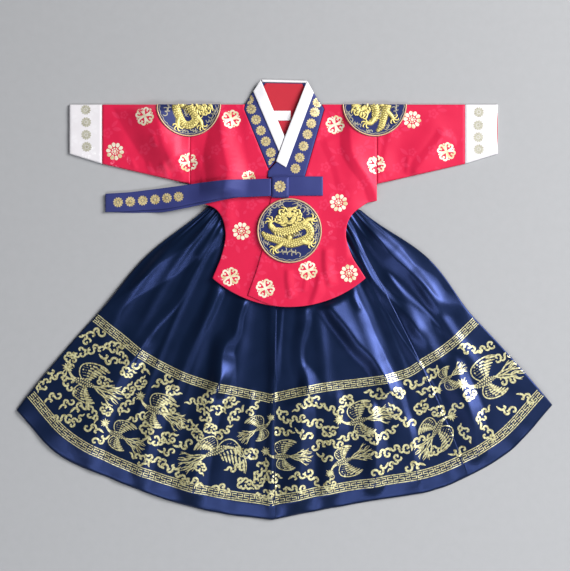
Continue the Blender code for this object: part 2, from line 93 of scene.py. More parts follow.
class Slot(Enum):
    """The record's material slots."""

    NAVY_SATIN = "navy_satin"
    RED_SILK = "red_silk"
    WHITE_BROCADE = "white_brocade"
    NAVY_RIBBON = "navy_ribbon"
    WHITE_TRIM = "white_trim"
    RED_LINING = "red_lining"
    GOLD_EMBROIDERY = "gold_embroidery"


# Numbers and lines


def smooth(start: float, end: float, value: Array | float) -> Array:
    """A share from 0 at start to 1 at end with flat ends; start may be the larger."""
    share = np.clip((np.asarray(value, float) - start) / (end - start), 0.0, 1.0)
    return share * share * (3.0 - 2.0 * share)


def from_photo(points: Iterable[Point]) -> Array:
    """Turns pixels of the photograph into millimetres of the frame."""
    spots = np.asarray(list(points), float)
    return (spots - PHOTO_CENTRE) * (PIXEL, -PIXEL)


def curve_through(values: Array, position: Array) -> Array:
    """Reads a smooth run through evenly numbered values.

    Args:
        values: one row per number, any columns.
        position: where to read, as numbers among the rows.

    Returns:
        One row per position.
    """
    values = np.asarray(values, float)
    position = np.asarray(position, float)
    last = len(values) - 1
    index = np.clip(position.astype(int), 0, last - 1)
    share = (position - index).reshape(position.shape + (1,) * (values.ndim - 1))
    padded = np.concatenate([[2 * values[0] - values[1]], values, [2 * values[-1] - values[-2]]])
    a, b, c, d = (padded[index + k] for k in range(4))
    return 0.5 * (
        2 * b
        + (c - a) * share
        + (2 * a - 5 * b + 4 * c - d) * share**2
        + (3 * b - a - 3 * c + d) * share**3
    )


def reach_along(line: Array) -> Array:
    """How far along a line each of its points lies."""
    return np.concatenate([[0.0], np.cumsum(np.linalg.norm(np.diff(line[:, :2], axis=0), axis=1))])


def resampled(points: Array, step: float) -> Array:
    """A smooth line through points, cut into even steps of about the given length."""
    fine = curve_through(points, np.linspace(0, len(points) - 1, 24 * len(points)))
    reach = reach_along(fine)
    even = np.linspace(0, reach[-1], max(2, int(round(reach[-1] / step)) + 1))
    return np.stack([np.interp(even, reach, fine[:, k]) for k in range(fine.shape[1])], axis=1)


def turned(angle: float) -> Array:
    """The matrix that turns points by an angle."""
    return np.array([[math.cos(angle), -math.sin(angle)], [math.sin(angle), math.cos(angle)]])


def polar(reach: float, angle: float, x: float = 0.0, y: float = 0.0) -> Point:
    """The point at some reach and angle from a place."""
    return x + reach * math.cos(angle), y + reach * math.sin(angle)


def left_of(run: Array) -> Array:
    """The unit vector to the left of each direction."""
    unit = run / np.maximum(np.linalg.norm(run, axis=1, keepdims=True), 1e-9)
    return np.stack([-unit[:, 1], unit[:, 0]], axis=1)


def run_round(outline: Array) -> Array:
    """The direction of a closed outline at each of its points."""
    return np.roll(outline, -1, axis=0) - np.roll(outline, 1, axis=0)


def split_edges(outline: Sequence[Point], step: float) -> Array:
    """An outline with points added so that no edge is much longer than step."""
    points: list[Array] = []
    corners = [np.asarray(p, float) for p in outline]
    for start, end in zip(corners, corners[1:] + corners[:1]):
        parts = max(1, round(float(np.linalg.norm(end - start)) / step))
        points += [start + (end - start) * i / parts for i in range(parts)]
    return np.array(points)


def edge_distance(points: Array, outline: Array) -> Array:
    """How far each point lies inside an outline; negative outside it."""
    starts, ends = outline, np.roll(outline, -1, axis=0)
    run = ends - starts
    best = np.full(len(points), 1e9)
    crossings = np.zeros(len(points), int)
    for a, d, b in zip(starts, run, ends):
        away = points - a
        share = np.clip(away @ d / max(float(d @ d), 1e-9), 0.0, 1.0)
        best = np.minimum(best, np.hypot(*(away - share[:, None] * d).T))
        spans = (a[1] > points[:, 1]) != (b[1] > points[:, 1])
        reach = a[0] + (points[:, 1] - a[1]) * d[0] / (d[1] if d[1] else 1e-9)
        crossings += spans & (points[:, 0] < reach)
    return np.where(crossings % 2 == 1, best, -best)


def outline_area(outline: Array) -> float:
    """The area inside an outline, negative where it runs clockwise."""
    following = np.roll(outline, -1, axis=0)
    return 0.5 * float(np.sum(outline[:, 0] * following[:, 1] - following[:, 0] * outline[:, 1]))


def smallest_rectangle(outline: Array) -> tuple[float, float]:
    """Width and length of the smallest rectangle that an outline can be cut from."""
    spreads = [np.ptp(outline @ turned(turn), axis=0) for turn in np.radians(np.arange(0, 90, 2))]
    best = min(spreads, key=lambda size: float(size[0] * size[1]))
    return float(min(best)), float(max(best))


# Meshes


def make_mesh(
    name: str, points: Array, faces: Sequence[Sequence[int]], material: Material, uv: Array | None = None
) -> Object:
    """Makes an object from points in millimetres.

    Args:
        name: the object's name.
        points: one row of three numbers per vertex.
        faces: vertex numbers of each face.
        material: what it is made of.
        uv: one row of two numbers per vertex, for a pattern that follows the surface.

    Returns:
        The object, linked to the scene with its place in its mesh.
    """
    mesh = bpy.data.meshes.new(name)
    mesh.from_pydata((np.asarray(points) * MM).tolist(), [], [list(f) for f in faces])
    mesh.materials.append(material)
    mesh.shade_smooth()
    if uv is not None:
        layer = mesh.uv_layers.new(name="thread")
        corners = np.empty(len(mesh.loops), int)
        mesh.loops.foreach_get("vertex_index", corners)
        layer.data.foreach_set("uv", np.asarray(uv, np.float32)[corners].ravel())
    mesh.update()
    return placed_in_scene(name, mesh)


def placed_in_scene(name: str, data: bpy.types.ID) -> Object:
    """An object of the scene that holds some data."""
    made = bpy.data.objects.new(name, data)
    bpy.context.scene.collection.objects.link(made)
    return made


def grid_faces(rows: int, columns: int, start: int = 0, flip: bool = False, around: bool = False) -> Array:
    """The quads of a grid of points, numbered row by row; around joins the last column to the first."""
    row, column = np.meshgrid(np.arange(rows - 1), np.arange(columns - (not around)), indexing="ij")
    here, after = row * columns + column, row * columns + (column + 1) % columns
    quads = np.stack([here, after, after + columns, here + columns], axis=-1).reshape(-1, 4) + start
    return quads[:, ::-1] if flip else quads


def shell_between(
    name: str, outer: Array, inner: Array, material: Material, around: bool, flip: bool = False
) -> Object:
    """A closed shell between two grids of points of the same size.

    Args:
        name: the object's name.
        outer: the outer face's points, as rows, columns and three numbers.
        inner: the inner face's points.
        material: what it is made of.
        around: whether each row is a closed ring.
        flip: turns all faces over.

    Returns:
        The object.
    """
    rows, columns = outer.shape[:2]
    count = rows * columns
    faces = [grid_faces(rows, columns, 0, flip, around), grid_faces(rows, columns, count, not flip, around)]
    for row in (0, rows - 1):
        line = np.arange(columns) + row * columns
        after = np.roll(line, -1)
        strip = np.stack([line, after, after + count, line + count], axis=1)
        strip = strip if around else strip[:-1]
        faces.append(strip if (row == 0) == flip else strip[:, ::-1])
    if not around:
        for column in (0, columns - 1):
            line = np.arange(rows) * columns + column
            strip = np.stack([line[:-1], line[1:], line[1:] + count, line[:-1] + count], axis=1)
            faces.append(strip if (column == 0) != flip else strip[:, ::-1])
    points = np.concatenate([outer.reshape(-1, 3), inner.reshape(-1, 3)])
    return make_mesh(name, points, np.concatenate(faces), material)


class Stroke(NamedTuple):
    """A line with a width at each of its points."""

    points: Sequence[Point]
    widths: Sequence[float]


def stroke_mesh(
    name: str, strokes: Iterable[Stroke], material: Material, step: float = 1.8, crown: float = 0.0
) -> Object:
    """Lays strokes flat as foil, or raised as embroidery.

    Args:
        name: the object's name.
        strokes: the lines and their widths.
        material: foil or thread.
        step: the length of a stroke's faces.
        crown: how high the middle of a stroke stands, as a share of its width.

    Returns:
        One object with all strokes.
    """
    across = np.array([-1.0, -0.62, 0.0, 0.62, 1.0]) if crown else np.array([-1.0, 1.0])
    rise = np.sqrt(np.maximum(0.0, 1.0 - across**2))
    columns = len(across)
    points, faces, uvs, start = [], [], [], 0
    for stroke in strokes:
        line = resampled(np.column_stack([*map(np.asarray, stroke)]), step)
        side = left_of(np.gradient(line[:, :2], axis=0))
        aside = 0.5 * np.maximum(line[:, 2:], THINNEST) * across
        flat = line[:, None, :2] + side[:, None, :] * aside[:, :, None]
        lift = crown * np.maximum(line[:, 2:], THINNEST) * rise
        points.append(np.concatenate([flat, lift[:, :, None]], axis=2).reshape(-1, 3))
        uvs.append(np.stack([np.repeat(reach_along(line), columns), aside.ravel()], axis=1))
        faces.append(grid_faces(len(line), columns, start))
        start += len(line) * columns
    shape = np.concatenate(points), np.concatenate(faces)[:, ::-1]
    return make_mesh(name, *shape, material, np.concatenate(uvs))


# Shader and geometry trees


class Tree:
    """A node tree with one method that adds any node."""

    def __init__(self, nodes: NodeTree) -> None:
        """Wraps a tree."""
        self.tree = nodes

    def node(self, kind: str, settings: dict | None = None, sockets: dict | None = None) -> Node:
        """Adds a node.

        Args:
            kind: the node's type.
            settings: properties that are set before its sockets.
            sockets: values or links by the socket's name or number.

        Returns:
            The node.
        """
        made = self.tree.nodes.new(kind)
        for key, value in (settings or {}).items():
            setattr(made, key, value)
        for key, value in (sockets or {}).items():
            self.feed(made.inputs[key], value)
        return made

    def feed(self, socket: NodeSocket, value: object) -> None:
        """Sets or links one socket."""
        if isinstance(value, Wire):
            value = value.socket
        if isinstance(value, NodeSocket):
            self.tree.links.new(value, socket)
        elif value is not None:
            socket.default_value = value

    def wire(
        self, kind: str, settings: dict | None = None, sockets: dict | None = None, output: str | int = 0
    ) -> "Wire":
        """Adds a node and wraps one of its outputs."""
        return Wire(self, self.node(kind, settings, sockets).outputs[output])

    def mix(self, share: object, low: object, high: object) -> "Wire":
        """Mixes two colours."""
        made = self.node("ShaderNodeMix", {"data_type": "RGBA"})
        self.feed(made.inputs["Factor"], share)
        colours = [s for s in made.inputs if s.type == "RGBA"]
        for socket, value in zip(colours, (low, high)):
            self.feed(socket, (*value, 1.0) if isinstance(value, tuple) and len(value) == 3 else value)
        return Wire(self, next(s for s in made.outputs if s.type == "RGBA"))

    def step(self, low: float, high: float, value: "Wire") -> "Wire":
        """A soft step from 0 to 1."""
        sockets = {"Value": value, "From Min": low, "From Max": high}
        return self.wire("ShaderNodeMapRange", {"interpolation_type": "SMOOTHSTEP"}, sockets)

    def vector(self, operation: str, first: object, second: object) -> "Wire":
        """One Vector Math node; SCALE takes a number second."""
        operands = {0: first, "Scale" if operation == "SCALE" else 1: second}
        return self.wire("ShaderNodeVectorMath", {"operation": operation}, operands)

    def parts(self, vector: object) -> list["Wire"]:
        """The three numbers of a vector."""
        return [Wire(self, part) for part in self.node("ShaderNodeSeparateXYZ", None, {0: vector}).outputs]

    def place(self) -> list["Wire"]:
        """The object's own coordinates, in millimetres."""
        return [part * 1000.0 for part in self.parts(self.wire("ShaderNodeTexCoord", output="Object"))]

    def noise(self, scale: float, detail: float = 2.0, stretch: Colour = (1.0, 1.0, 1.0)) -> "Wire":
        """Soft noise on the object's own coordinates; scale is in waves per metre."""
        coordinates = self.wire("ShaderNodeTexCoord", output="Object")
        moved = self.wire("ShaderNodeMapping", None, {"Vector": coordinates, "Scale": stretch})
        return self.wire("ShaderNodeTexNoise", None, {"Vector": moved, "Scale": scale, "Detail": detail})


class Wire:
    """A socket that Python's operators add Math nodes to."""

    def __init__(self, tree: Tree, socket: NodeSocket) -> None:
        """Wraps a socket."""
        self.tree = tree
        self.socket = socket

    def maths(self, operation: str, *operands: object) -> "Wire":
        """Adds one Math node whose first operands are given."""
        return self.tree.wire("ShaderNodeMath", {"operation": operation}, dict(enumerate(operands)))

    def __add__(self, other: object) -> "Wire":
        """Sum."""
        return self.maths("ADD", self, other)

    __radd__ = __add__

    def __sub__(self, other: object) -> "Wire":
        """Difference."""
        return self.maths("SUBTRACT", self, other)

    def __rsub__(self, other: object) -> "Wire":
        """Difference from a number."""
        return self.maths("SUBTRACT", other, self)

    def __mul__(self, other: object) -> "Wire":
        """Product."""
        return self.maths("MULTIPLY", self, other)

    __rmul__ = __mul__

    def __truediv__(self, other: object) -> "Wire":
        """Quotient."""
        return self.maths("DIVIDE", self, other)

    def __mod__(self, other: object) -> "Wire":
        """Remainder that is never negative."""
        return self.maths("FLOORED_MODULO", self, other)

    def floor(self) -> "Wire":
        """The whole number below."""
        return self.maths("FLOOR", self)

    def most(self, other: object) -> "Wire":
        """The larger of two."""
        return self.maths("MAXIMUM", self, other)

    def least(self, other: object) -> "Wire":
        """The smaller of two."""
        return self.maths("MINIMUM", self, other)

    def size(self) -> "Wire":
        """The value without its sign."""
        return self.maths("ABSOLUTE", self)

    def sin(self) -> "Wire":
        """Sine."""
        return self.maths("SINE", self)

    def cos(self) -> "Wire":
        """Cosine."""
        return self.maths("COSINE", self)

    def root(self) -> "Wire":
        """Square root."""
        return self.maths("SQRT", self)

    def angle(self, other: "Wire") -> "Wire":
        """The angle of the direction (other, self)."""
        return self.maths("ARCTAN2", self, other)


class ShaderTree(Tree):
    """A material's node tree with its Principled BSDF."""

    def __init__(self, name: str) -> None:
        """Makes a material with an empty shader."""
        self.material = bpy.data.materials.new(name)
        self.material.use_nodes = True
        super().__init__(self.material.node_tree)
        self.shader = self.tree.nodes["Principled BSDF"]

    def finish(self, **sockets: object) -> Material:
        """Sets the shader's sockets; an underscore in a name stands for a space."""
        for key, value in sockets.items():
            self.feed(self.shader.inputs[key.replace("_", " ")], value)
        return self.material

    def bump(self, height: Wire, strength: float, distance: float) -> Wire:
        """A normal from a height in millimetres."""
        sockets = {"Strength": strength, "Distance": distance * MM, "Height": height}
        return self.wire("ShaderNodeBump", None, sockets, "Normal")


@dataclass(frozen=True)
class Weave:
    """A figured silk: a satin ground with tone-on-tone sprigs woven into it."""

    ground: Colour
    figure: Colour
    sheen: Colour
    glint: Colour = (1.0, 0.30, 0.42)
    cell: float = 54.0
    roughness: float = 0.42
    figure_roughness: float = 0.58
    leaves: tuple[tuple[Point, Point, float], ...] = (
        # stalk, tip, width
        ((22.0, 22.0), (36.0, 20.0), 3.0),
        ((21.0, 24.0), (30.0, 34.0), 2.6),
        ((33.0, 36.0), (20.0, 47.0), 2.8),
        ((46.0, 37.0), (51.0, 24.0), 2.6),
        ((8.0, 8.0), (3.0, 2.0), 2.0),
    )

    def blossom(self, x: Wire, y: Wire, centre: Point, radius: float, petals: int = 5) -> Wire:
        """A flower of round petals with a gap round its middle.

        Args:
            x: place across, in millimetres.
            y: place along.
            centre: the flower's middle.
            radius: its reach.
            petals: how many petals.

        Returns:
            A mask that is 1 on the flower.
        """
        u, v = x - centre[0], y - centre[1]
        away = (u * u + v * v).root()
        lobes = (v.angle(u) * (petals / 2.0)).cos().size()
        tree = x.tree
        body = tree.step(0.8, -0.8, away - (lobes * (0.42 * radius) + 0.55 * radius))
        ring = tree.step(1.6, 0.6, (away - 0.34 * radius).size())
        return (body - ring * 0.9).most(0.0)

    def leaf(self, x: Wire, y: Wire, start: Point, end: Point, width: float) -> Wire:
        """A leaf between two points."""
        run = np.subtract(end, start)
        length = float(np.hypot(*run))
        along_x, along_y = run / length
        u = (x - start[0]) * along_x + (y - start[1]) * along_y
        v = (y - start[1]) * along_x - (x - start[0]) * along_y
        belly = (u * (math.pi / length)).sin().most(0.0)
        inside = x.tree.step(0.0, 1.0, u) * x.tree.step(length, length - 1.0, u)
        return x.tree.step(0.5, -0.3, v.size() - belly * width) * inside

    def mask(self, tree: ShaderTree) -> Wire:
        """The woven figure: a blossom spray and a curling leaf spray in a half-drop repeat."""
        x, y, _ = tree.place()
        wander = tree.noise(9.0, 1.0) * 16.0
        column = ((x + wander) / self.cell).floor()
        u = (x + wander) % self.cell
        v = (y + column * (0.5 * self.cell) + wander) % self.cell
        whole = self.blossom(u, v, (15.0, 16.0), 8.5).most(self.blossom(u, v, (39.0, 41.0), 6.5))
        for start, end, width in self.leaves:
            whole = whole.most(self.leaf(u, v, start, end, width))
        return whole

    def material(self, name: str, figure_share: float = 0.45) -> Material:
        """The finished silk."""
        tree = ShaderTree(name)
        x, y, _ = tree.place()
        figure = self.mask(tree) * figure_share
        colour = tree.mix(figure, self.ground, self.figure)
        glint = tree.step(0.58, 0.66, tree.noise(9.0, 1.0)) * tree.step(0.50, 0.58, tree.noise(330.0, 2.0))
        colour = tree.mix(figure * glint * 1.3, colour, self.glint)
        colour = tree.mix(tree.noise(60.0, 3.0) * 0.35, colour, tuple(0.80 * c for c in self.ground))
        ribs = (y * (math.tau / 0.9)).sin() * 0.02 + (x * (math.tau / 1.3)).sin() * 0.02
        height = figure * 0.10 + ribs + tree.noise(420.0, 2.0) * 0.05
        return tree.finish(
            Base_Color=colour,
            Roughness=figure * (self.figure_roughness - self.roughness) + self.roughness,
            Normal=tree.bump(height, 0.55, 1.0),
            Specular_IOR_Level=0.42,
            Specular_Tint=(*self.sheen, 1.0),
            Sheen_Weight=0.06,
            Sheen_Roughness=0.4,
            Sheen_Tint=(*self.sheen, 1.0),
        )


@dataclass(frozen=True)
class Satin:
    """A plain satin whose long threads tint and spread its shine."""

    ground: Colour
    shine: Colour
    roughness: float = 0.36
    level: float = 0.8
    sheen: float = 0.10
    threads: float = 0.5

    def material(self, name: str) -> Material:
        """The finished satin."""
        tree = ShaderTree(name)
        x, y, _ = tree.place()
        colour = tree.mix(tree.noise(26.0, 3.0), self.ground, tuple(1.35 * c for c in self.ground))
        weave = (x * (math.tau / 0.8)).sin() * (y * (math.tau / 0.8)).sin() * 0.012
        height = tree.noise(900.0, 2.0, (1.0, 0.08, 1.0)) * 0.05 + tree.noise(110.0, 3.0) * 0.12 + weave
        return tree.finish(
            Base_Color=colour,
            Roughness=tree.noise(45.0, 2.0) * 0.12 + (self.roughness - 0.06),
            Normal=tree.bump(height, self.threads, 1.0),
            Specular_IOR_Level=self.level,
            Specular_Tint=(*self.shine, 1.0),
            Sheen_Weight=self.sheen,
            Sheen_Roughness=0.35,
            Sheen_Tint=(*self.shine, 1.0),
        )


@dataclass(frozen=True)
class Foil:
    """Gold leaf pressed on cloth: thin, a little rubbed, and crumpled with the cloth. Its colour is mixed in
    noise patches between a bright tone, a painted highlight, and a dark tone that is partly rubbed foil and
    partly painted shade.
    """

    # the bright tone is a painted highlight of lit foil; the dark tone below it is partly rubbed foil and
    # partly painted shade
    bright: Colour = (0.80, 0.77, 0.43)
    worn_and_shaded: Colour = (0.26, 0.22, 0.075)
    roughness: float = 0.38
    metal: float = 0.45
    patch: float = 330.0

    def material(self, name: str) -> Material:
        """The finished foil."""
        tree = ShaderTree(name)
        wear_and_painted_light = tree.noise(self.patch, 4.0)
        # painted highlight and painted shade: noise patches mix the bright tone with the dark one, which also
        # stands for rubbed foil
        colour = tree.mix(tree.step(0.38, 0.72, wear_and_painted_light), self.bright, self.worn_and_shaded)
        height = tree.noise(700.0, 3.0) * 0.10 + tree.noise(120.0, 2.0) * 0.20
        return tree.finish(
            Base_Color=colour,
            Metallic=self.metal,
            Roughness=wear_and_painted_light * 0.22 + self.roughness - 0.08,
            Normal=tree.bump(height, 0.5, 1.0),
            Specular_IOR_Level=1.0,
            IOR=1.7,
        )


@dataclass(frozen=True)
class Thread:
    """Satin-stitch embroidery: threads laid side by side across each stroke."""

    colour: Colour
    dark: Colour
    pitch: float = 0.75
    metal: float = 0.55
    scales: bool = False
    scale_size: float = 3.3

    def material(self, name: str) -> Material:
        """The finished thread, read along and across each stroke."""
        tree = ShaderTree(name)
        along, across, _ = tree.parts(tree.wire("ShaderNodeUVMap", {"uv_map": "thread"}))
        stitch = ((along + across * 0.25) * (math.tau / self.pitch)).sin() * 0.5 + 0.5
        shade = stitch * 0.45
        if self.scales:
            size = self.scale_size
            row = (along / size).floor()
            u = (along % size) / size - 0.35
            v = (across + row * (0.5 * size)) % size / size - 0.5
            rim = tree.step(0.32, 0.50, (u * u + v * v).root())
            shade = (shade * 0.5 + rim).least(1.0)
        shade = (shade + tree.step(0.50, 0.70, tree.noise(420.0, 3.0)) * 0.5).least(1.0)
        return tree.finish(
            Base_Color=tree.mix(shade, self.colour, self.dark),
            Metallic=self.metal,
            Roughness=0.42,
            Normal=tree.bump(stitch * 0.12 - shade * 0.25, 0.7, 1.0),
            Sheen_Weight=0.15,
            Sheen_Roughness=0.4,
        )


@dataclass(frozen=True)
class Plain:
    """A plain woven cloth."""

    colour: Colour
    roughness: float = 0.7
    pitch: float = 0.9
    sheen: float = 0.15

    def material(self, name: str) -> Material:
        """The finished cloth."""
        tree = ShaderTree(name)
        x, y, _ = tree.place()
        weave = (x * (math.tau / self.pitch)).sin() * (y * (math.tau / self.pitch)).sin()
        colour = tree.mix(tree.noise(80.0, 3.0) * 0.5, self.colour, tuple(0.86 * c for c in self.colour))
        return tree.finish(
            Base_Color=colour,
            Roughness=self.roughness,
            Normal=tree.bump(weave * 0.05 + tree.noise(200.0) * 0.08, 0.5, 1.0),
            Sheen_Weight=self.sheen,
            Sheen_Roughness=0.4,
        )


class Draper:
    """Geometry Nodes that repeat a piece and lay it on the cloth below it."""

    def __init__(self) -> None:
        """Builds both trees once."""
        shared = {"Cloth": "Object", "Lift": "Float", "Finish": "Material"}
        self.scatter_tree = self._tree("scatter_on_cloth", shared | {"Motif": "Object"}, self._scatter)
        line = {"Path": "Object", "Count": "Int", "Pitch": "Float"}
        self.run_tree = self._tree("run_along_cloth", shared | line, self._run)

    @staticmethod
    def _tree(name: str, inputs: dict[str, str], fill: Callable) -> NodeTree:
        """Makes a geometry tree with named inputs and fills it."""
        made = bpy.data.node_groups.new(name, "GeometryNodeTree")
        for key, kind in ({"Geometry": "Geometry"} | inputs).items():
            made.interface.new_socket(key, in_out="INPUT", socket_type=f"NodeSocket{kind}")
        made.interface.new_socket("Geometry", in_out="OUTPUT", socket_type="NodeSocketGeometry")
        tree = Tree(made)
        fill(tree, tree.node("NodeGroupInput").outputs)
        return made

    @staticmethod
    def _lay(tree: Tree, given: Sockets, geometry: Wire, plan: Wire, height: Wire) -> None:
        """Drops points on the cloth: plan is where they go and height how far above it they stay."""
        above = tree.vector("ADD", tree.vector("MULTIPLY", plan, (1.0, 1.0, 0.0)), (0.0, 0.0, 0.5 * DROP))
        cloth = tree.wire("GeometryNodeObjectInfo", None, {"Object": given["Cloth"]}, "Geometry")
        ray = tree.node("GeometryNodeRaycast", None, {
            "Target Geometry": cloth, "Source Position": above, "Ray Direction": (0.0, 0.0, -1.0),
            "Ray Length": DROP,
        }).outputs
        missed = tree.wire("FunctionNodeBooleanMath", {"operation": "NOT"}, {0: ray["Is Hit"]})
        holes = {"Geometry": geometry, "Selection": missed}
        kept = tree.wire("GeometryNodeDeleteGeometry", {"domain": "POINT"}, holes)
        push = tree.vector("SCALE", ray["Hit Normal"], height + given["Lift"])
        there = {"Geometry": kept, "Position": tree.vector("ADD", ray["Hit Position"], push)}
        laid = tree.wire("GeometryNodeSetPosition", None, there)
        finished = {"Geometry": laid, "Material": given["Finish"]}
        tree.node("NodeGroupOutput", None, {0: tree.wire("GeometryNodeSetMaterial", None, finished)})

    def _scatter(self, tree: Tree, given: Sockets) -> None:
        """One motif on each point, turned and sized by the point's own numbers."""
        motif = tree.wire("GeometryNodeObjectInfo", None, {"Object": given["Motif"]}, "Geometry")
        turn = tree.wire("GeometryNodeInputNamedAttribute", {"data_type": "FLOAT"}, {"Name": "turn"})
        size = tree.wire("GeometryNodeInputNamedAttribute", {"data_type": "FLOAT_VECTOR"}, {"Name": "size"})
        axis = tree.wire("ShaderNodeCombineXYZ", None, {2: turn})
        spin = tree.wire("FunctionNodeEulerToRotation", None, {0: axis})
        placed = {"Points": given["Geometry"], "Instance": motif, "Rotation": spin, "Scale": size}
        real = self._repeat(tree, placed)
        place = tree.wire("GeometryNodeInputPosition")
        self._lay(tree, given, real, place, tree.parts(place)[2])

    def _run(self, tree: Tree, given: Sockets) -> None:
        """A unit repeated along a path, bent with it."""
        pitch = tree.wire("ShaderNodeCombineXYZ", None, {0: given["Pitch"]})
        spots = {"Count": given["Count"], "Offset": pitch}
        line = tree.wire("GeometryNodeMeshLine", {"mode": "OFFSET", "count_mode": "TOTAL"}, spots)
        real = self._repeat(tree, {"Points": line, "Instance": given["Geometry"]})
        along, aside, height = tree.parts(tree.wire("GeometryNodeInputPosition"))
        path = tree.wire("GeometryNodeObjectInfo", None, {"Object": given["Path"]}, "Geometry")
        settings = {"mode": "LENGTH", "use_all_curves": True}
        sample = tree.node("GeometryNodeSampleCurve", settings, {"Curves": path, "Length": along}).outputs
        x, y, _ = tree.parts(sample["Tangent"])
        side = tree.wire("ShaderNodeCombineXYZ", None, {0: y * -1.0, 1: x})
        plan = tree.vector("ADD", sample["Position"], tree.vector("SCALE", side, aside))
        self._lay(tree, given, real, plan, height)

    @staticmethod
    def _repeat(tree: Tree, placed: dict[str, object]) -> Wire:
        """A piece on every point, made real."""
        made = tree.wire("GeometryNodeInstanceOnPoints", None, placed)
        return tree.wire("GeometryNodeRealizeInstances", None, {0: made})

    @staticmethod
    def _bake(holder: Object, tree: NodeTree, values: dict[str, object]) -> Object:
        """Runs a tree on an object and keeps the result as its plain mesh."""
        modifier = holder.modifiers.new(tree.name, "NODES")
        modifier.node_group = tree
        for item in tree.interface.items_tree:
            if item.in_out == "INPUT" and item.name in values:
                modifier[item.identifier] = values[item.name]
        holder.update_tag()
        bpy.context.view_layer.update()
        graph = bpy.context.evaluated_depsgraph_get()
        made = bpy.data.meshes.new_from_object(holder.evaluated_get(graph))
        holder.modifiers.clear()
        holder.data = made
        made.name = holder.name
        return holder

    def scatter(
        self, name: str, motif: Object, spots: Array, cloth: Object, finish: Material, lift: float = 0.15
    ) -> Object:
        """Lays a motif at each spot.

        Args:
            name: the new object's name.
            motif: a flat mesh about its own middle.
            spots: rows of x, y, turn in radians, size, and 1 or -1 for a mirrored one.
            cloth: what it lies on.
            finish: its material.
            lift: its height above the cloth.

        Returns:
            One object with every motif; the motif itself is removed.
        """
        spots = np.atleast_2d(np.asarray(spots, float))
        points = np.column_stack([spots[:, :2], np.zeros(len(spots))])
        holder = make_mesh(name, points, [], finish)
        turn = holder.data.attributes.new("turn", "FLOAT", "POINT")
        turn.data.foreach_set("value", spots[:, 2].astype(np.float32))
        size = holder.data.attributes.new("size", "FLOAT_VECTOR", "POINT")
        scale = np.stack([spots[:, 3], spots[:, 3] * spots[:, 4], np.ones(len(spots))], axis=1)
        size.data.foreach_set("vector", scale.astype(np.float32).ravel())
        values = {"Motif": motif, "Cloth": cloth, "Lift": lift * MM, "Finish": finish}
        made = self._bake(holder, self.scatter_tree, values)
        bpy.data.objects.remove(motif)
        face_up(made)
        return made

    def run(
        self, unit: Object, path: Array, cloth: Object, finish: Material, pitch: float, lift: float = 0.15
    ) -> Object:
        """Repeats a unit along a line on the cloth.

        Args:
            unit: a mesh whose +X runs along the line; it becomes the result.
            path: the line's points.
            cloth: what it lies on.
            finish: its material.
            pitch: the unit's length, fitted to a whole number of units.
            lift: its height above the cloth.

        Returns:
            The unit, now repeated.
        """
        curve = bpy.data.curves.new("path", "CURVE")
        curve.dimensions = "3D"
        spline = curve.splines.new("POLY")
        spline.points.add(len(path) - 1)
        flat = np.column_stack([path[:, :2] * MM, np.zeros(len(path)), np.ones(len(path))])
        spline.points.foreach_set("co", flat.astype(np.float32).ravel())
        guide = placed_in_scene("path", curve)
        length = float(reach_along(path)[-1])
        count = max(1, round(length / pitch))
        fitted = length / count
        stretch = np.empty(len(unit.data.vertices) * 3, np.float32)
        unit.data.vertices.foreach_get("co", stretch)
        stretch[0::3] *= fitted / pitch
        unit.data.vertices.foreach_set("co", stretch)
        values = {"Path": guide, "Cloth": cloth, "Lift": lift * MM, "Count": count}
        made = self._bake(unit, self.run_tree, values | {"Pitch": fitted * MM, "Finish": finish})
        bpy.data.objects.remove(guide)
        face_up(made)
        return made


def face_up(piece: Object) -> None:
    """Turns over the faces of a laid piece that look down."""
    for polygon in piece.data.polygons:
        if polygon.normal.z < 0:
            polygon.flip()
    piece.data.shade_smooth()


# The garment's lie


class Ridge(NamedTuple):
    """A soft straight fold: both ends, half width and height."""

    x0: float
    y0: float
    x1: float
    y1: float
    half_width: float
    height: float


class Sweep(NamedTuple):
    """One flank of a fold: its left edge in the photograph's pixels, and how it slopes from there.

    A lit flank falls to the right, towards the light; a shaded one rises to the right. The other side of the
    fold is the gentle one.
    """

    line: tuple[Point, ...]
    flank: tuple[float, ...]
    gentle: float
    height: float
    lit: bool = True


def sweep_height(sweeps: Sequence[Sweep], x: Array, y: Array, steep: float = 1.0) -> Array:
    """The height that folds add at each place.

    Args:
        sweeps: the folds, each line going down the photograph.
        x: places across, in millimetres.
        y: places along.
        steep: makes all of them higher.

    Returns:
        The sum of their heights.
    """
    total = np.zeros_like(x)
    for sweep in sweeps:
        line = resampled(from_photo(sweep.line), 9.0)
        best, side = np.full(x.shape, 1e9), np.zeros(x.shape)
        along = np.zeros(x.shape)
        for index, (start, end) in enumerate(zip(line[:-1], line[1:])):
            run = end - start
            share = ((x - start[0]) * run[0] + (y - start[1]) * run[1]) / float(run @ run)
            held = np.clip(share, 0.0, 1.0)
            away = np.hypot(x - start[0] - held * run[0], y - start[1] - held * run[1])
            nearer = away < best
            best = np.where(nearer, away, best)
            cross = run[0] * (y - start[1]) - run[1] * (x - start[0])
            side = np.where(nearer, np.sign(cross), side)
            along = np.where(nearer, (index + held) / (len(line) - 1), along)
        width = np.interp(along, np.linspace(0.0, 1.0, len(sweep.flank)), sweep.flank)
        away = best * side
        flank = np.clip(away / width, 0.0, 1.0)
        if sweep.lit:
            shape = np.where(away < 0, smooth(-sweep.gentle, 0.0, away), 1.0 - flank)
        else:
            beyond = 1.0 - smooth(0.0, sweep.gentle, away - width)
            shape = np.where(away < width, flank, beyond)
        ends = smooth(0.0, FOLD_END, along) * smooth(1.0, 1.0 - FOLD_END, along)
        total += steep * sweep.height * (width / max(sweep.flank)) ** 0.7 * shape * ends
    return total


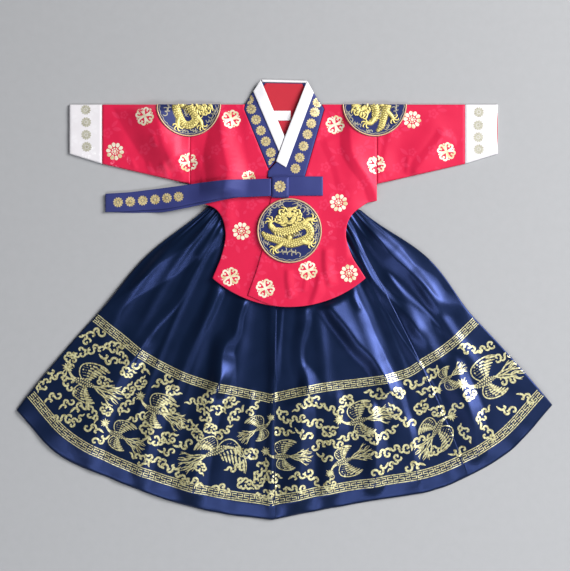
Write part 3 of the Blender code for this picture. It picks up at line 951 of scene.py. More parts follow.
def crumple(x: Array, y: Array, size: float, wave: float, seed: int, waves: int = 9) -> Array:
    """Faint unevenness of cloth that was folded and smoothed by hand."""
    draw = np.random.default_rng(seed)
    total = np.zeros_like(x)
    for _ in range(waves):
        turn, phase = draw.uniform(0, math.tau, 2)
        length = wave * draw.uniform(0.6, 1.7)
        bend = 6.0 * np.sin(math.tau * (x * math.cos(turn + 1.3) + y * math.sin(turn + 1.3)) / (2.6 * wave))
        total += np.sin(math.tau * (x * math.cos(turn) + y * math.sin(turn) + bend) / length + phase)
    return size * total / 3.0


@dataclass
class Lie:
    """How the layers lie on each other: every height that the pieces share."""

    wall: float = 1.2
    band_wall: float = 1.6
    layer_gap: float = 0.4
    stack: float = 8.8
    climb: Point = (256.0, 154.0)
    side_drop_x: Point = (96.0, 145.0)
    side_drop_y: Point = (122.0, 150.0)
    neck_loft: float = 2.4
    shoulder_y: float = 293.0
    step_down: Point = (26.0, 60.0)
    ridges: tuple[Ridge, ...] = (
        # soft folds of the sleeves, fronts and hem
        Ridge(88.0, 235.0, 130.0, 158.0, 15.0, 2.4),
        Ridge(-222.0, 280.0, -170.0, 205.0, 20.0, 2.2),
        Ridge(228.0, 262.0, 192.0, 205.0, 17.0, 2.0),
        Ridge(-112.0, 232.0, -98.0, 190.0, 18.0, 1.6),
        Ridge(-252.0, 280.0, -236.0, 225.0, 14.0, 1.2),
        Ridge(62.0, 44.0, 50.0, 6.0, 12.0, 1.4),
    )
    sweeps: tuple[Sweep, ...] = (
        # line down its left edge, flank width at its top and foot, gentle side, height
        Sweep(((107, 92), (118, 118), (132, 142), (152, 172), (160, 184)),
              (60.0, 57.0, 50.0, 36.0, 30.0), 44.0, 15.5, False),
        Sweep(((214, 106), (206, 140), (202, 166), (199, 200)), (8.0, 24.0, 40.0, 36.0), 36.0, 12.2, False),
        Sweep(((341, 108), (340, 148), (348, 167), (362, 186), (371, 214)),
              (13.0, 16.0, 13.0, 13.0), 60.0, 5.0, False),
        Sweep(((440, 124), (428, 143), (412, 162), (404, 172)), (10.0, 12.0), 30.0, 3.0, False),
        Sweep(((386, 126), (381, 150), (377, 176)), (7.0, 6.0), 22.0, 1.2, False),
        Sweep(((176, 132), (177, 158), (186, 184)), (7.0, 9.0), 18.0, 1.5),
        Sweep(((154, 134), (158, 148)), (3.0, 3.0), 9.0, 0.8),
        Sweep(((131, 158), (137, 170)), (3.0, 4.0), 8.0, 0.9),
        Sweep(((148, 162), (154, 176)), (3.0, 4.0), 8.0, 1.0),
        Sweep(((163, 162), (170, 178)), (4.0, 4.0), 9.0, 1.2),
        Sweep(((200, 158), (203, 186)), (6.0, 6.0), 14.0, 1.4),
        Sweep(((406, 156), (404, 174)), (2.4, 2.4), 8.0, 0.9, False),
        Sweep(((284, 268), (284, 282), (287, 300)), (5.0, 6.0), 14.0, 1.9, False),
        Sweep(((316, 272), (313, 288), (306, 306)), (5.0, 7.0), 14.0, 2.1, False),
        Sweep(((304, 276), (301, 292)), (3.0, 3.0), 9.0, 0.8, False),
        Sweep(((321, 246), (321, 268), (326, 290)), (6.0, 7.0), 16.0, 2.2, False),
        Sweep(((224, 196), (221, 212), (225, 232)), (9.0, 7.0), 20.0, 2.2, False),
        Sweep(((353, 214), (346, 236), (347, 262)), (5.0, 6.0), 18.0, 1.1),
        Sweep(((318, 140), (330, 168), (336, 192)), (10.0, 8.0), 30.0, 1.4, False),
        Sweep(((258, 250), (252, 272), (244, 292)), (6.0, 6.0), 20.0, 0.9, False),
    )

    def skirt_lift(self, x: Array, y: Array) -> Array:
        """How high the jacket's back lies."""
        climb = smooth(*self.climb, y)
        drop = smooth(*self.side_drop_x, np.abs(x)) * smooth(*self.side_drop_y, y)
        return self.stack * climb * (1.0 - drop)

    def puffs(self, x: Array, y: Array) -> Array:
        """The folds of the jacket's front layers."""
        total = np.zeros_like(x)
        for fold in self.ridges:
            run = (fold.x1 - fold.x0, fold.y1 - fold.y0)
            length = math.hypot(*run)
            along = ((x - fold.x0) * run[0] + (y - fold.y0) * run[1]) / length**2
            across = ((x - fold.x0) * run[1] - (y - fold.y0) * run[0]) / length
            ends = smooth(-0.35, 0.25, along) * smooth(1.35, 0.75, along)
            total += fold.height * np.exp(-((across / fold.half_width) ** 2)) * ends
        fine = sweep_height(self.sweeps, x, y) + crumple(x, y, 0.18, 42.0, SEED) + 0.25
        return (total + fine) * smooth(self.shoulder_y, self.shoulder_y - 12.0, y)

    def loft(self, x: Array, y: Array) -> Array:
        """The air between the jacket's back and its fronts."""
        (x0, y0), (x1, y1) = (34.0, 330.0), (58.0, 290.0)
        length = math.hypot(x1 - x0, y1 - y0)
        inside = ((np.abs(x) - x0) * (y1 - y0) - (y - y0) * (x1 - x0)) / length
        neck = self.neck_loft * smooth(88.0, 50.0, np.abs(x)) * smooth(100.0, 200.0, y)
        return self.puffs(x, y) + neck * smooth(-6.0, 20.0, inside)

    def back_top(self, x: Array, y: Array) -> Array:
        """The upper face of the jacket's back."""
        return self.skirt_lift(x, y) + self.wall

    def front_top(self, x: Array, y: Array) -> Array:
        """The upper face of the sleeves and of the underlapping front."""
        return self.back_top(x, y) + self.layer_gap + self.wall + self.loft(x, y)

    def over_top(self, x: Array, y: Array) -> Array:
        """The upper face of the overlapping front."""
        return self.front_top(x, y) + (self.wall + self.layer_gap) * smooth(*self.step_down[::-1], x)

    def tie_foot(self, x: Array, y: Array) -> Array:
        """The underside of the tie, on the jacket and then down on the floor."""
        return (self.over_top(x, y) + 0.6) * smooth(-205.0, -136.0, x)


LIE = Lie()


def on_floor(x: Array, y: Array) -> Array:
    """The floor's height."""
    return 0.0 * (x + y)


def raised(top: Height, gap: float) -> Height:
    """A surface some way above another, or below it."""
    return lambda x, y: top(x, y) + gap


@dataclass
class Cut:
    """The jacket's pattern lines."""

    armhole_x: float = 139.5
    cuff_seam_x: float = 272.0
    cuff_end_x: float = 321.0
    shoulder_y: float = 293.0
    armpit_y: float = 173.5
    cuff_seam_foot: float = 204.0
    cuff_end_foot: float = 219.0
    hem_centre: float = 8.3
    hem_half: float = 114.3
    hem_corner_y: float = 32.7
    hem_drop: float = 43.0
    side_curve: tuple[tuple[float, float, float], ...] = (
        # y, half width, lean
        (145.5, 125.5, 0.0),
        (138.5, 110.0, 5.0),
        (129.0, 99.3, 4.3),
        (117.0, 92.8, 3.3),
        (102.0, 89.9, 3.2),
        (90.0, 90.4, 3.4),
        (75.0, 94.2, 4.2),
        (60.0, 99.8, 5.2),
        (45.0, 107.8, 7.0),
    )

    def hem_y(self, x: float) -> float:
        """The jacket's curved hem."""
        radius = (self.hem_half**2 + self.hem_drop**2) / (2 * self.hem_drop)
        return self.hem_corner_y - self.hem_drop + radius - math.sqrt(radius**2 - (x - self.hem_centre) ** 2)

    def hem_run(self, x_from: float, x_to: float, steps: int, rise: float = 0.0) -> list[Point]:
        """Points along the hem; rise lifts the overlap's own corner."""
        spread = np.linspace(x_from, x_to, steps + 1)
        return [(float(x), self.hem_y(x) + rise * float(smooth(-8.0, -53.6, x))) for x in spread]

    def side(self, side: int) -> list[Point]:
        """The jacket's side from the armpit's corner down to the hem's corner."""
        rows = np.array([(side * half + lean, y) for y, half, lean in self.side_curve])
        curve = resampled(rows, 6.0)
        return [(side * self.armhole_x, 148.5)] + [tuple(p) for p in curve]

    def back_outline(self) -> list[Point]:
        """The jacket's back, from the shoulder line to the hem."""
        left, right = self.hem_centre - self.hem_half, self.hem_centre + self.hem_half
        return (
            [(-self.armhole_x, self.shoulder_y)] + self.side(-1) + self.hem_run(left, right, 60)
            + self.side(1)[::-1] + [(self.armhole_x, self.shoulder_y)]
        )

    def foot_at(self, x: float) -> float:
        """The lower edge of sleeve and cuff at a distance from the centre line."""
        if x <= self.cuff_seam_x:
            share = (x - self.armhole_x) / (self.cuff_seam_x - self.armhole_x)
            return self.armpit_y + (self.cuff_seam_foot - self.armpit_y) * share
        share = (x - self.cuff_seam_x) / (self.cuff_end_x - self.cuff_seam_x)
        return self.cuff_seam_foot + (self.cuff_end_foot - self.cuff_seam_foot) * share


CUT = Cut()


@dataclass
class Panel:
    """One cut piece of cloth laid over what lies below it, with softly turned edges.

    It stands for the solid of its name, and rests on other cloths or on the floor.
    """

    node: str
    outline: Sequence[Point]
    foot: Height
    wall: float
    slot: Slot
    hold: Hold = Hold.LAID
    rests_on: str = ""
    step: float = 2.6
    turn: float = 1.2
    rings: Point = (0.3, 1.0)

    def points(self) -> tuple[Array, Array, Array]:
        """The panel's plan.

        Returns:
            Its edge, all its points with the edge first, and each point's distance from the edge.
        """
        edge = split_edges(self.outline, self.step)
        inward = left_of(run_round(edge)) * math.copysign(self.turn, outline_area(edge))
        row = self.step * math.sqrt(3) / 2
        low, high = edge.min(0), edge.max(0)
        ys = np.arange(math.floor(low[1] / row), math.ceil(high[1] / row) + 1)
        xs = np.arange(math.floor(low[0] / self.step) - 1, math.ceil(high[0] / self.step) + 2)
        gx, gy = np.meshgrid(xs, ys)
        spots = np.stack([(gx + 0.5 * (gy % 2)) * self.step, gy * row], axis=-1).reshape(-1, 2)
        away = edge_distance(spots, edge)
        clear = away > self.turn + 0.6 * self.step
        kept, depths = [edge], [np.zeros(len(edge))]
        for share in self.rings:
            ring = edge + inward * share
            reach = edge_distance(ring, edge)
            good = reach > 0.8 * share * self.turn
            kept.append(ring[good])
            depths.append(reach[good])
        kept.append(spots[clear])
        depths.append(away[clear])
        return edge, np.concatenate(kept), np.concatenate(depths)

    def build(self, finishes: "Finishes", trims: Sequence[Object] = (), declared: bool = True) -> Object:
        """Args:
            finishes: the materials, of which it takes its slot's.
            trims: pieces sewn on it; not used.
            declared: False for a piece that is another panel's trim; not used.

        Returns:
            The panel.
        """
        edge, plan, depth = self.points()
        flat, _, faces, origin, *_ = delaunay_2d_cdt(
            [Vector(p) for p in plan], [], [list(range(len(edge)))], 1, 1e-5
        )
        xy = np.array([tuple(p) for p in flat])
        reach = np.array([depth[o[0]] if o else 0.0 for o in origin])
        share = np.clip(reach / self.turn, 0.0, 1.0)
        round_over = np.sqrt(1.0 - (1.0 - share) ** 2)
        base = self.foot(xy[:, 0], xy[:, 1])
        upper = base + self.wall * (0.45 + 0.55 * round_over)
        lower = base + self.wall * 0.18 * (1.0 - round_over)
        count = len(xy)
        tris = np.array([list(f) for f in faces])
        sides: dict[tuple[int, int], int] = {}
        for a, b, c in tris:
            for pair in ((a, b), (b, c), (c, a)):
                sides[pair] = sides.get(pair, 0) + 1
        rim = [(a, b) for a, b in sides if (b, a) not in sides]
        walls = np.array([[b, a, a + count] for a, b in rim] + [[b, a + count, b + count] for a, b in rim])
        points = np.concatenate([np.column_stack([xy, upper]), np.column_stack([xy, lower])])
        faces = np.concatenate([tris, tris[:, ::-1] + count, walls])
        made = make_mesh(f"{self.node}_cloth", points, faces, finishes.cloth(self.slot))
        size = smallest_rectangle(edge)
        dress(made, self.slot, self.node)
        return made
def dress(piece: Object, slot: Slot, *nodes: str) -> Object:
    """Hides the solids that a piece stands for and hangs it on the body that it rides on."""
    if nodes:
        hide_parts(*nodes)
    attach(piece, "root")
    LOG.info("%s: %d faces", piece.name, len(piece.data.polygons))
    return piece


class Finishes:
    """Every material of the set."""

    def __init__(self) -> None:
        """Makes the materials."""
        red, bright = (0.67, 0.0165, 0.066), (1.0, 1.0, 1.0)
        self.red = Weave(red, (0.77, 0.045, 0.125), (1.0, 0.45, 0.60)).material("red_jacquard")
        brocade = Weave((0.78, 0.76, 0.79), (0.84, 0.83, 0.86), bright, bright, 30.0)
        self.white = brocade.material("white_brocade")
        satin = Satin((0.0021, 0.0064, 0.0180), (0.22, 0.33, 1.0), 0.37, 0.9, sheen=0.03)
        self.navy = satin.material("navy_satin")
        self.ribbon = Satin((0.029, 0.036, 0.138), (0.40, 0.47, 1.0), 0.52, 0.5).material("navy_ribbon")
        self.foil = Foil().material("gold_foil")
        self.pale = Foil((0.96, 0.92, 0.74), (0.66, 0.52, 0.24), 0.5, 0.25, 100.0).material("pale_foil")
        self.coin = Foil((0.86, 0.72, 0.36), (0.46, 0.34, 0.11), 0.42, 0.40, 210.0).material("coin_foil")
        self.beige = Foil((0.50, 0.49, 0.38), (0.34, 0.32, 0.22), 0.55, 0.15, 260.0).material("beige_foil")
        self.gold = Thread((0.95, 0.83, 0.30), (0.50, 0.37, 0.08), metal=0.2).material("gold_thread")
        scales = Thread((0.94, 0.82, 0.28), (0.26, 0.20, 0.05), metal=0.2, scales=True)
        self.scales = scales.material("gold_scales")
        self.olive = Thread((0.20, 0.16, 0.055), (0.08, 0.065, 0.03), metal=0.1).material("olive_thread")
        self.cord = Thread((0.72, 0.50, 0.28), (0.42, 0.27, 0.13), metal=0.1).material("rim_cord")
        self.cloud = Thread((0.42, 0.39, 0.28), (0.17, 0.16, 0.14), metal=0.1).material("dull_thread")
        self.patch = Satin((0.012, 0.018, 0.085), (0.5, 0.55, 1.0), 0.55, 0.4).material("roundel_ground")
        self.trim = Plain((0.86, 0.86, 0.89), 0.5, 0.7).material("white_trim")
        self.lining = Plain((0.52, 0.010, 0.030), 0.7, 0.8, 0.0).material("red_lining")
        self.piping = Plain((0.80, 0.62, 0.68), 0.6, 0.8).material("pink_piping")
        self.dark = Plain((0.010, 0.012, 0.02), 0.6, 0.8).material("dark_thread")

    def cloth(self, slot: Slot) -> Material:
        """What the panels of a slot are made of."""
        return {
            Slot.NAVY_SATIN: self.navy, Slot.RED_SILK: self.red, Slot.WHITE_BROCADE: self.white,
            Slot.NAVY_RIBBON: self.ribbon, Slot.WHITE_TRIM: self.trim, Slot.RED_LINING: self.lining,
            Slot.GOLD_EMBROIDERY: self.patch,
        }[slot]
# Motifs


def disc(x: float, y: float, radius: float) -> Stroke:
    """A round spot, as one short stroke whose width follows the circle."""
    shares = np.linspace(-1.0, 1.0, 9)
    widths = [2 * radius * math.sqrt(1.0 - 0.98 * s * s) for s in shares]
    return Stroke([(x + radius * s, y) for s in shares], widths)


def arc(x: float, y: float, radius: float, start: float, sweep: float, wind: float = 0.0) -> list[Point]:
    """Points round a curl; wind is the share of its radius that it loses on the way."""
    return [polar(radius * (1 - wind * t), start + sweep * t, x, y) for t in np.linspace(0, 1, 8)]
def mirrored(*strokes: Stroke) -> list[Stroke]:
    """Strokes on the right of the middle line and again on its left."""
    return [
        Stroke([(side * x, y) for x, y in points], widths) for side in (1, -1) for points, widths in strokes
    ]


class Motifs:
    """The gold patterns, drawn flat about their own middle."""

    def __init__(self, finish: Material) -> None:
        """Keeps the foil that motifs are made of."""
        self.finish = finish

    def flower(self, name: str, radius: float, count: int, eye: float, beads: int) -> Object:
        """A flower of separate round petals about an eye.

        Args:
            name: the mesh's name.
            radius: the petals' reach.
            count: how many petals.
            eye: the eye's radius.
            beads: how many beads stand round the eye's spot; without beads the eye is one solid spot.

        Returns:
            The flat mesh.
        """
        lobe = radius * math.sin(math.pi / count) / (1 + math.sin(math.pi / count))
        reaches = (eye + 0.35, 0.5 * (eye + radius - lobe), radius - lobe, radius - 0.4 * lobe, radius)
        widths = (0.7 * lobe, 1.35 * lobe, 1.80 * lobe, 1.5 * lobe, 0.4 * lobe)
        turns = [math.tau * (index + 0.5) / count for index in range(count)]
        strokes = [Stroke([polar(reach, turn) for reach in reaches], widths) for turn in turns]
        for index in range(beads):
            strokes.append(disc(*polar(0.68 * eye, math.tau * index / beads), 0.21 * eye))
        strokes.append(disc(0.0, 0.0, 0.36 * eye if beads else eye - 0.1))
        return stroke_mesh(name, strokes, self.finish, 0.9)

    def ornament(self) -> Object:
        """A cloud-knot: four pairs of curls round a lozenge."""
        strokes = []
        curl = np.array([(2.2, 0.5), (5.6, 0.9), (9.6, 2.2), (11.6, 5.0), (9.8, 7.6), (6.8, 6.9), (6.6, 4.6)])
        for turn in (0.0, 0.5 * math.pi, math.pi, 1.5 * math.pi):
            for side in (1, -1):
                spots = (curl * (1, side)) @ turned(turn).T
                strokes.append(Stroke([tuple(p) for p in spots], (2.4, 3.0, 3.2, 3.0, 2.7, 2.3, 1.9)))
            strokes.append(disc(*polar(12.0, turn), 1.3))
        strokes.append(disc(0.0, 0.0, 2.6))
        return stroke_mesh("ornament", strokes, self.finish, 1.1)

    def cloud(self, kind: int) -> Object:
        """A cloud of joined curls with a wispy tail; kind picks one of four."""
        kinds = (
            (
                [(-16, -3.5), (-12, -1.0), (-8, 0.5), (-4.6, -1.4), (-3.0, -4.4), (-6.2, -5.6)],
                [(-4.6, -1.2), (-3.4, 3.2), (0.4, 5.6), (3.4, 3.4), (2.2, 0.2), (-0.2, 1.6)],
                [(3.2, 2.6), (3.4, -3.0), (7.0, -5.8), (11.4, -4.6), (11.8, -0.4), (8.4, 0.4)],
            ),
            (
                [(-12, -9.5), (-10.6, -5.2), (-11.6, -1.2), (-8.6, 2.0), (-5.2, 0.0), (-6.6, -3.0)],
                [(-7.0, 1.6), (-5.0, 5.6), (-0.6, 6.4), (1.8, 3.2), (-0.8, 1.4)],
                [(1.6, 4.6), (4.4, 8.2), (8.6, 7.4), (9.4, 3.4), (6.2, 2.6)],
                [(9.2, 3.0), (12.6, 2.0), (14.0, 5.6), (15.6, 8.6), (18.4, 10.0)],
                [(-8.6, -4.4), (-3.4, -4.6), (0.4, -7.4), (4.2, -5.4), (2.2, -2.4)],
            ),
            (
                [(-7.2, 3.0), (-9.4, 6.4), (-5.6, 9.2), (-2.6, 6.6), (-4.8, 4.0), (-8.8, 1.8), (-9.6, -2.4),
                 (-6.0, -4.2), (-4.6, -1.2)],
                [(-2.6, 6.0), (0.8, 9.0), (4.4, 6.6), (2.6, 3.4), (0.0, 4.2)],
                [(3.6, 5.0), (7.8, 6.0), (9.4, 2.0), (6.2, -0.2), (4.4, 1.8)],
                [(-6.0, -4.2), (-1.6, -5.6), (1.8, -2.8), (0.2, 0.0)],
                [(1.6, -3.2), (5.0, -6.2), (9.4, -4.6), (13.4, -6.8)],
            ),
            (
                [(-17, 4.6), (-12.4, 3.0), (-8.4, 5.0), (-5.6, 2.0), (-7.8, -1.6), (-4.4, -4.2), (-0.6, -2.0),
                 (-2.4, 0.8)],
                [(-0.8, -1.6), (1.4, 3.2), (5.6, 3.0), (6.4, -1.0), (3.2, -1.4)],
                [(5.4, -2.0), (5.2, -6.2), (9.2, -8.2), (12.2, -5.6), (10.0, -3.2)],
                [(6.2, 0.6), (10.2, 2.8), (14.4, 1.2), (14.0, -1.6)],
            ),
        )
        strokes = []
        for line in kinds[kind]:
            far = max((line[0], line[-1]), key=lambda spot: math.hypot(*spot))
            wispy = math.hypot(*far) > 14
            widths = [2.6, *[3.1] * (len(line) - 2), 2.6]
            if wispy:
                widths[line.index(far)] = 1.0
            strokes.append(Stroke(line, widths))
        return stroke_mesh(f"cloud_{kind}", strokes, self.finish, 1.7)

    def wing(self, side: float, spread: float, reach: float) -> list[Stroke]:
        """A raised wing: a curved arm, two columns of beads, short feathers and long ones with a ragged edge.

        Args:
            side: 1 or -1 for the wing's side of the body.
            spread: how far it turns outwards, in degrees.
            reach: its size.

        Returns:
            The wing's strokes.
        """
        root = np.array((0.0, 4.0))
        spin = turned(math.radians(spread))

        def at(x: float, y: float) -> Point:
            u, v = spin @ (np.array((x, y)) - root) * reach + root
            return float(u), float(side * v)

        def row(share: float, along: float) -> Point:
            front = np.interp(share, (0.0, 0.5, 0.8, 1.0), (-2.0, -9.0, -9.0, -4.0))
            back = np.interp(share, (0.0, 0.5, 1.0), (11.0, 19.5, 33.0))
            fall = np.interp(share, (0.0, 0.5, 1.0), (2.0, 0.5, -1.5))
            y = 6.0 + 22.0 * share + fall * along + 3.4 * share * math.sin(math.pi * along)
            return at(float(front + (back - front) * along), float(y))

        arm = ((-4, 4), (-9.5, 10), (-12, 17), (-11, 23.5), (-6, 28.4), (4, 32), (16, 33), (26, 31.4),
               (34, 27.6))
        strokes = [Stroke([at(*spot) for spot in arm], (1.4, 1.6, 1.7, 1.8, 1.9, 1.9, 1.9, 1.6, 0.6))]
        for share in np.linspace(0.0, 0.9, 6):
            for along in (0.08, 0.22):
                strokes.append(disc(*row(share, along), 1.5))
            strokes.append(Stroke([row(share, 0.34), row(share, 0.52)], (2.5, 2.1)))
        for share in np.linspace(0.0, 1.0, 7):
            strokes.append(Stroke([row(share, 0.57), row(share, 0.80), row(share, 1.0)], (2.9, 3.0, 0.9)))
        return strokes

    def phoenix(self, spread: float) -> Object:
        """A flying phoenix with a sunburst crest, checkered body and plumed tail along +X.

        Args:
            spread: how far the near wing swings forward, in degrees.

        Returns:
            The motif, as a flat mesh.
        """
        strokes = []
        profile = (3.4, 4.6, 5.8, 6.4, 6.4, 5.8, 4.8, 3.6, 2.6)
        for x, half in zip(np.linspace(-13.0, 16.0, 9), profile):
            for lane in (-0.68, 0.0, 0.68):
                middle, y = x + 1.5 * (lane == 0.0), lane * half
                strokes.append(Stroke([(middle - 1.1, y), (middle + 1.1, y)], (0.3 + 0.42 * half,) * 2))
        strokes.append(Stroke([(-13.5, 0.5), (-19.0, 2.6), (-23.5, 6.0), (-27.0, 9.5)], (5.4, 4.2, 3.4, 3.6)))
        crest = (-30.0, 13.0)
        strokes.append(disc(*crest, 4.6))
        for index in range(11):
            turn = math.tau * index / 11 + 0.2
            spike = [polar(reach, turn, *crest) for reach in (3.0, 5.6, 9.8 if index % 2 else 7.8)]
            strokes.append(Stroke(spike, (2.4, 2.2, 0.6)))
        strokes += self.wing(1.0, spread, 1.0 + 0.3 * (spread > 0.0))
        strokes += self.wing(-1.0, -14.0 if spread > 0.0 else 0.0, 0.82)
        for index, (way, far) in enumerate(((-27, 42), (-15, 46), (-4, 48), (7, 47), (18, 43))):
            sway = 2.2 if index % 2 else -2.2
            spin = turned(math.radians(way))

            def along(share: float, aside: float) -> Point:
                x, y = spin @ (far * share, aside)
                return float(x) + 17.0, float(y)

            spine = ((0.0, 0.0), (0.30, 0.3), (0.55, -0.5), (0.80, 0.7), (1.0, -0.4))
            strokes.append(Stroke([along(share, k * sway) for share, k in spine], (1.9, 1.9, 2.1, 2.1, 0.6)))
            for share, side in ((0.52, 1.0), (0.72, -1.0)):
                barb = [along(share, 0.0), along(share + 0.10, side * 2.2), along(share + 0.24, side * 3.0)]
                strokes.append(Stroke(barb, (1.7, 1.7, 0.5)))
        return stroke_mesh("phoenix", strokes, self.finish, 2.0)

    def fret(self, height: float, pitch: float) -> Object:
        """A length of key fret: two mirrored meander hooks between two lines."""
        line_width, bar, gap = 1.3, 1.3, 1.5
        top = 0.5 * height - 0.5 * line_width
        half = top - 0.5 * line_width - gap - 0.5 * bar
        wide = 0.5 * pitch - bar - gap
        strokes = []
        for index, flip in enumerate((False, True)):
            left = 0.5 * pitch * index + 0.5 * (bar + gap)
            corners = [(wide, half), (0.0, half), (0.0, 0.0), (wide, 0.0), (wide, -half), (0.0, -half)]
            spots = [(left + (wide - x if flip else x), y) for x, y in corners]
            for start, end in zip(spots, spots[1:]):
                run = np.subtract(end, start)
                reach = 0.5 * bar * run / np.hypot(*run)
                strokes.append(Stroke([tuple(start - reach), tuple(end + reach)], (bar, bar)))
        for level in (top, -top):
            strokes.append(Stroke([(pitch * k / 4, level) for k in range(5)], (line_width,) * 5))
        return stroke_mesh("fret", strokes, self.finish, 3.6)


# The skirt


class Station(NamedTuple):
    """One line down the skirt: where it leaves the waist, meets the border and reaches the hem."""

    waist_x: float
    waist_y: float
    border_x: float
    border_y: float
    hem_x: float
    hem_y: float


class SkirtFold(NamedTuple):
    """A fold of the skirt, by station at waist and hem, and where down the skirt it starts and ends."""

    waist: float
    hem: float
    half_width: float
    height: float
    starts: float
    ends: float


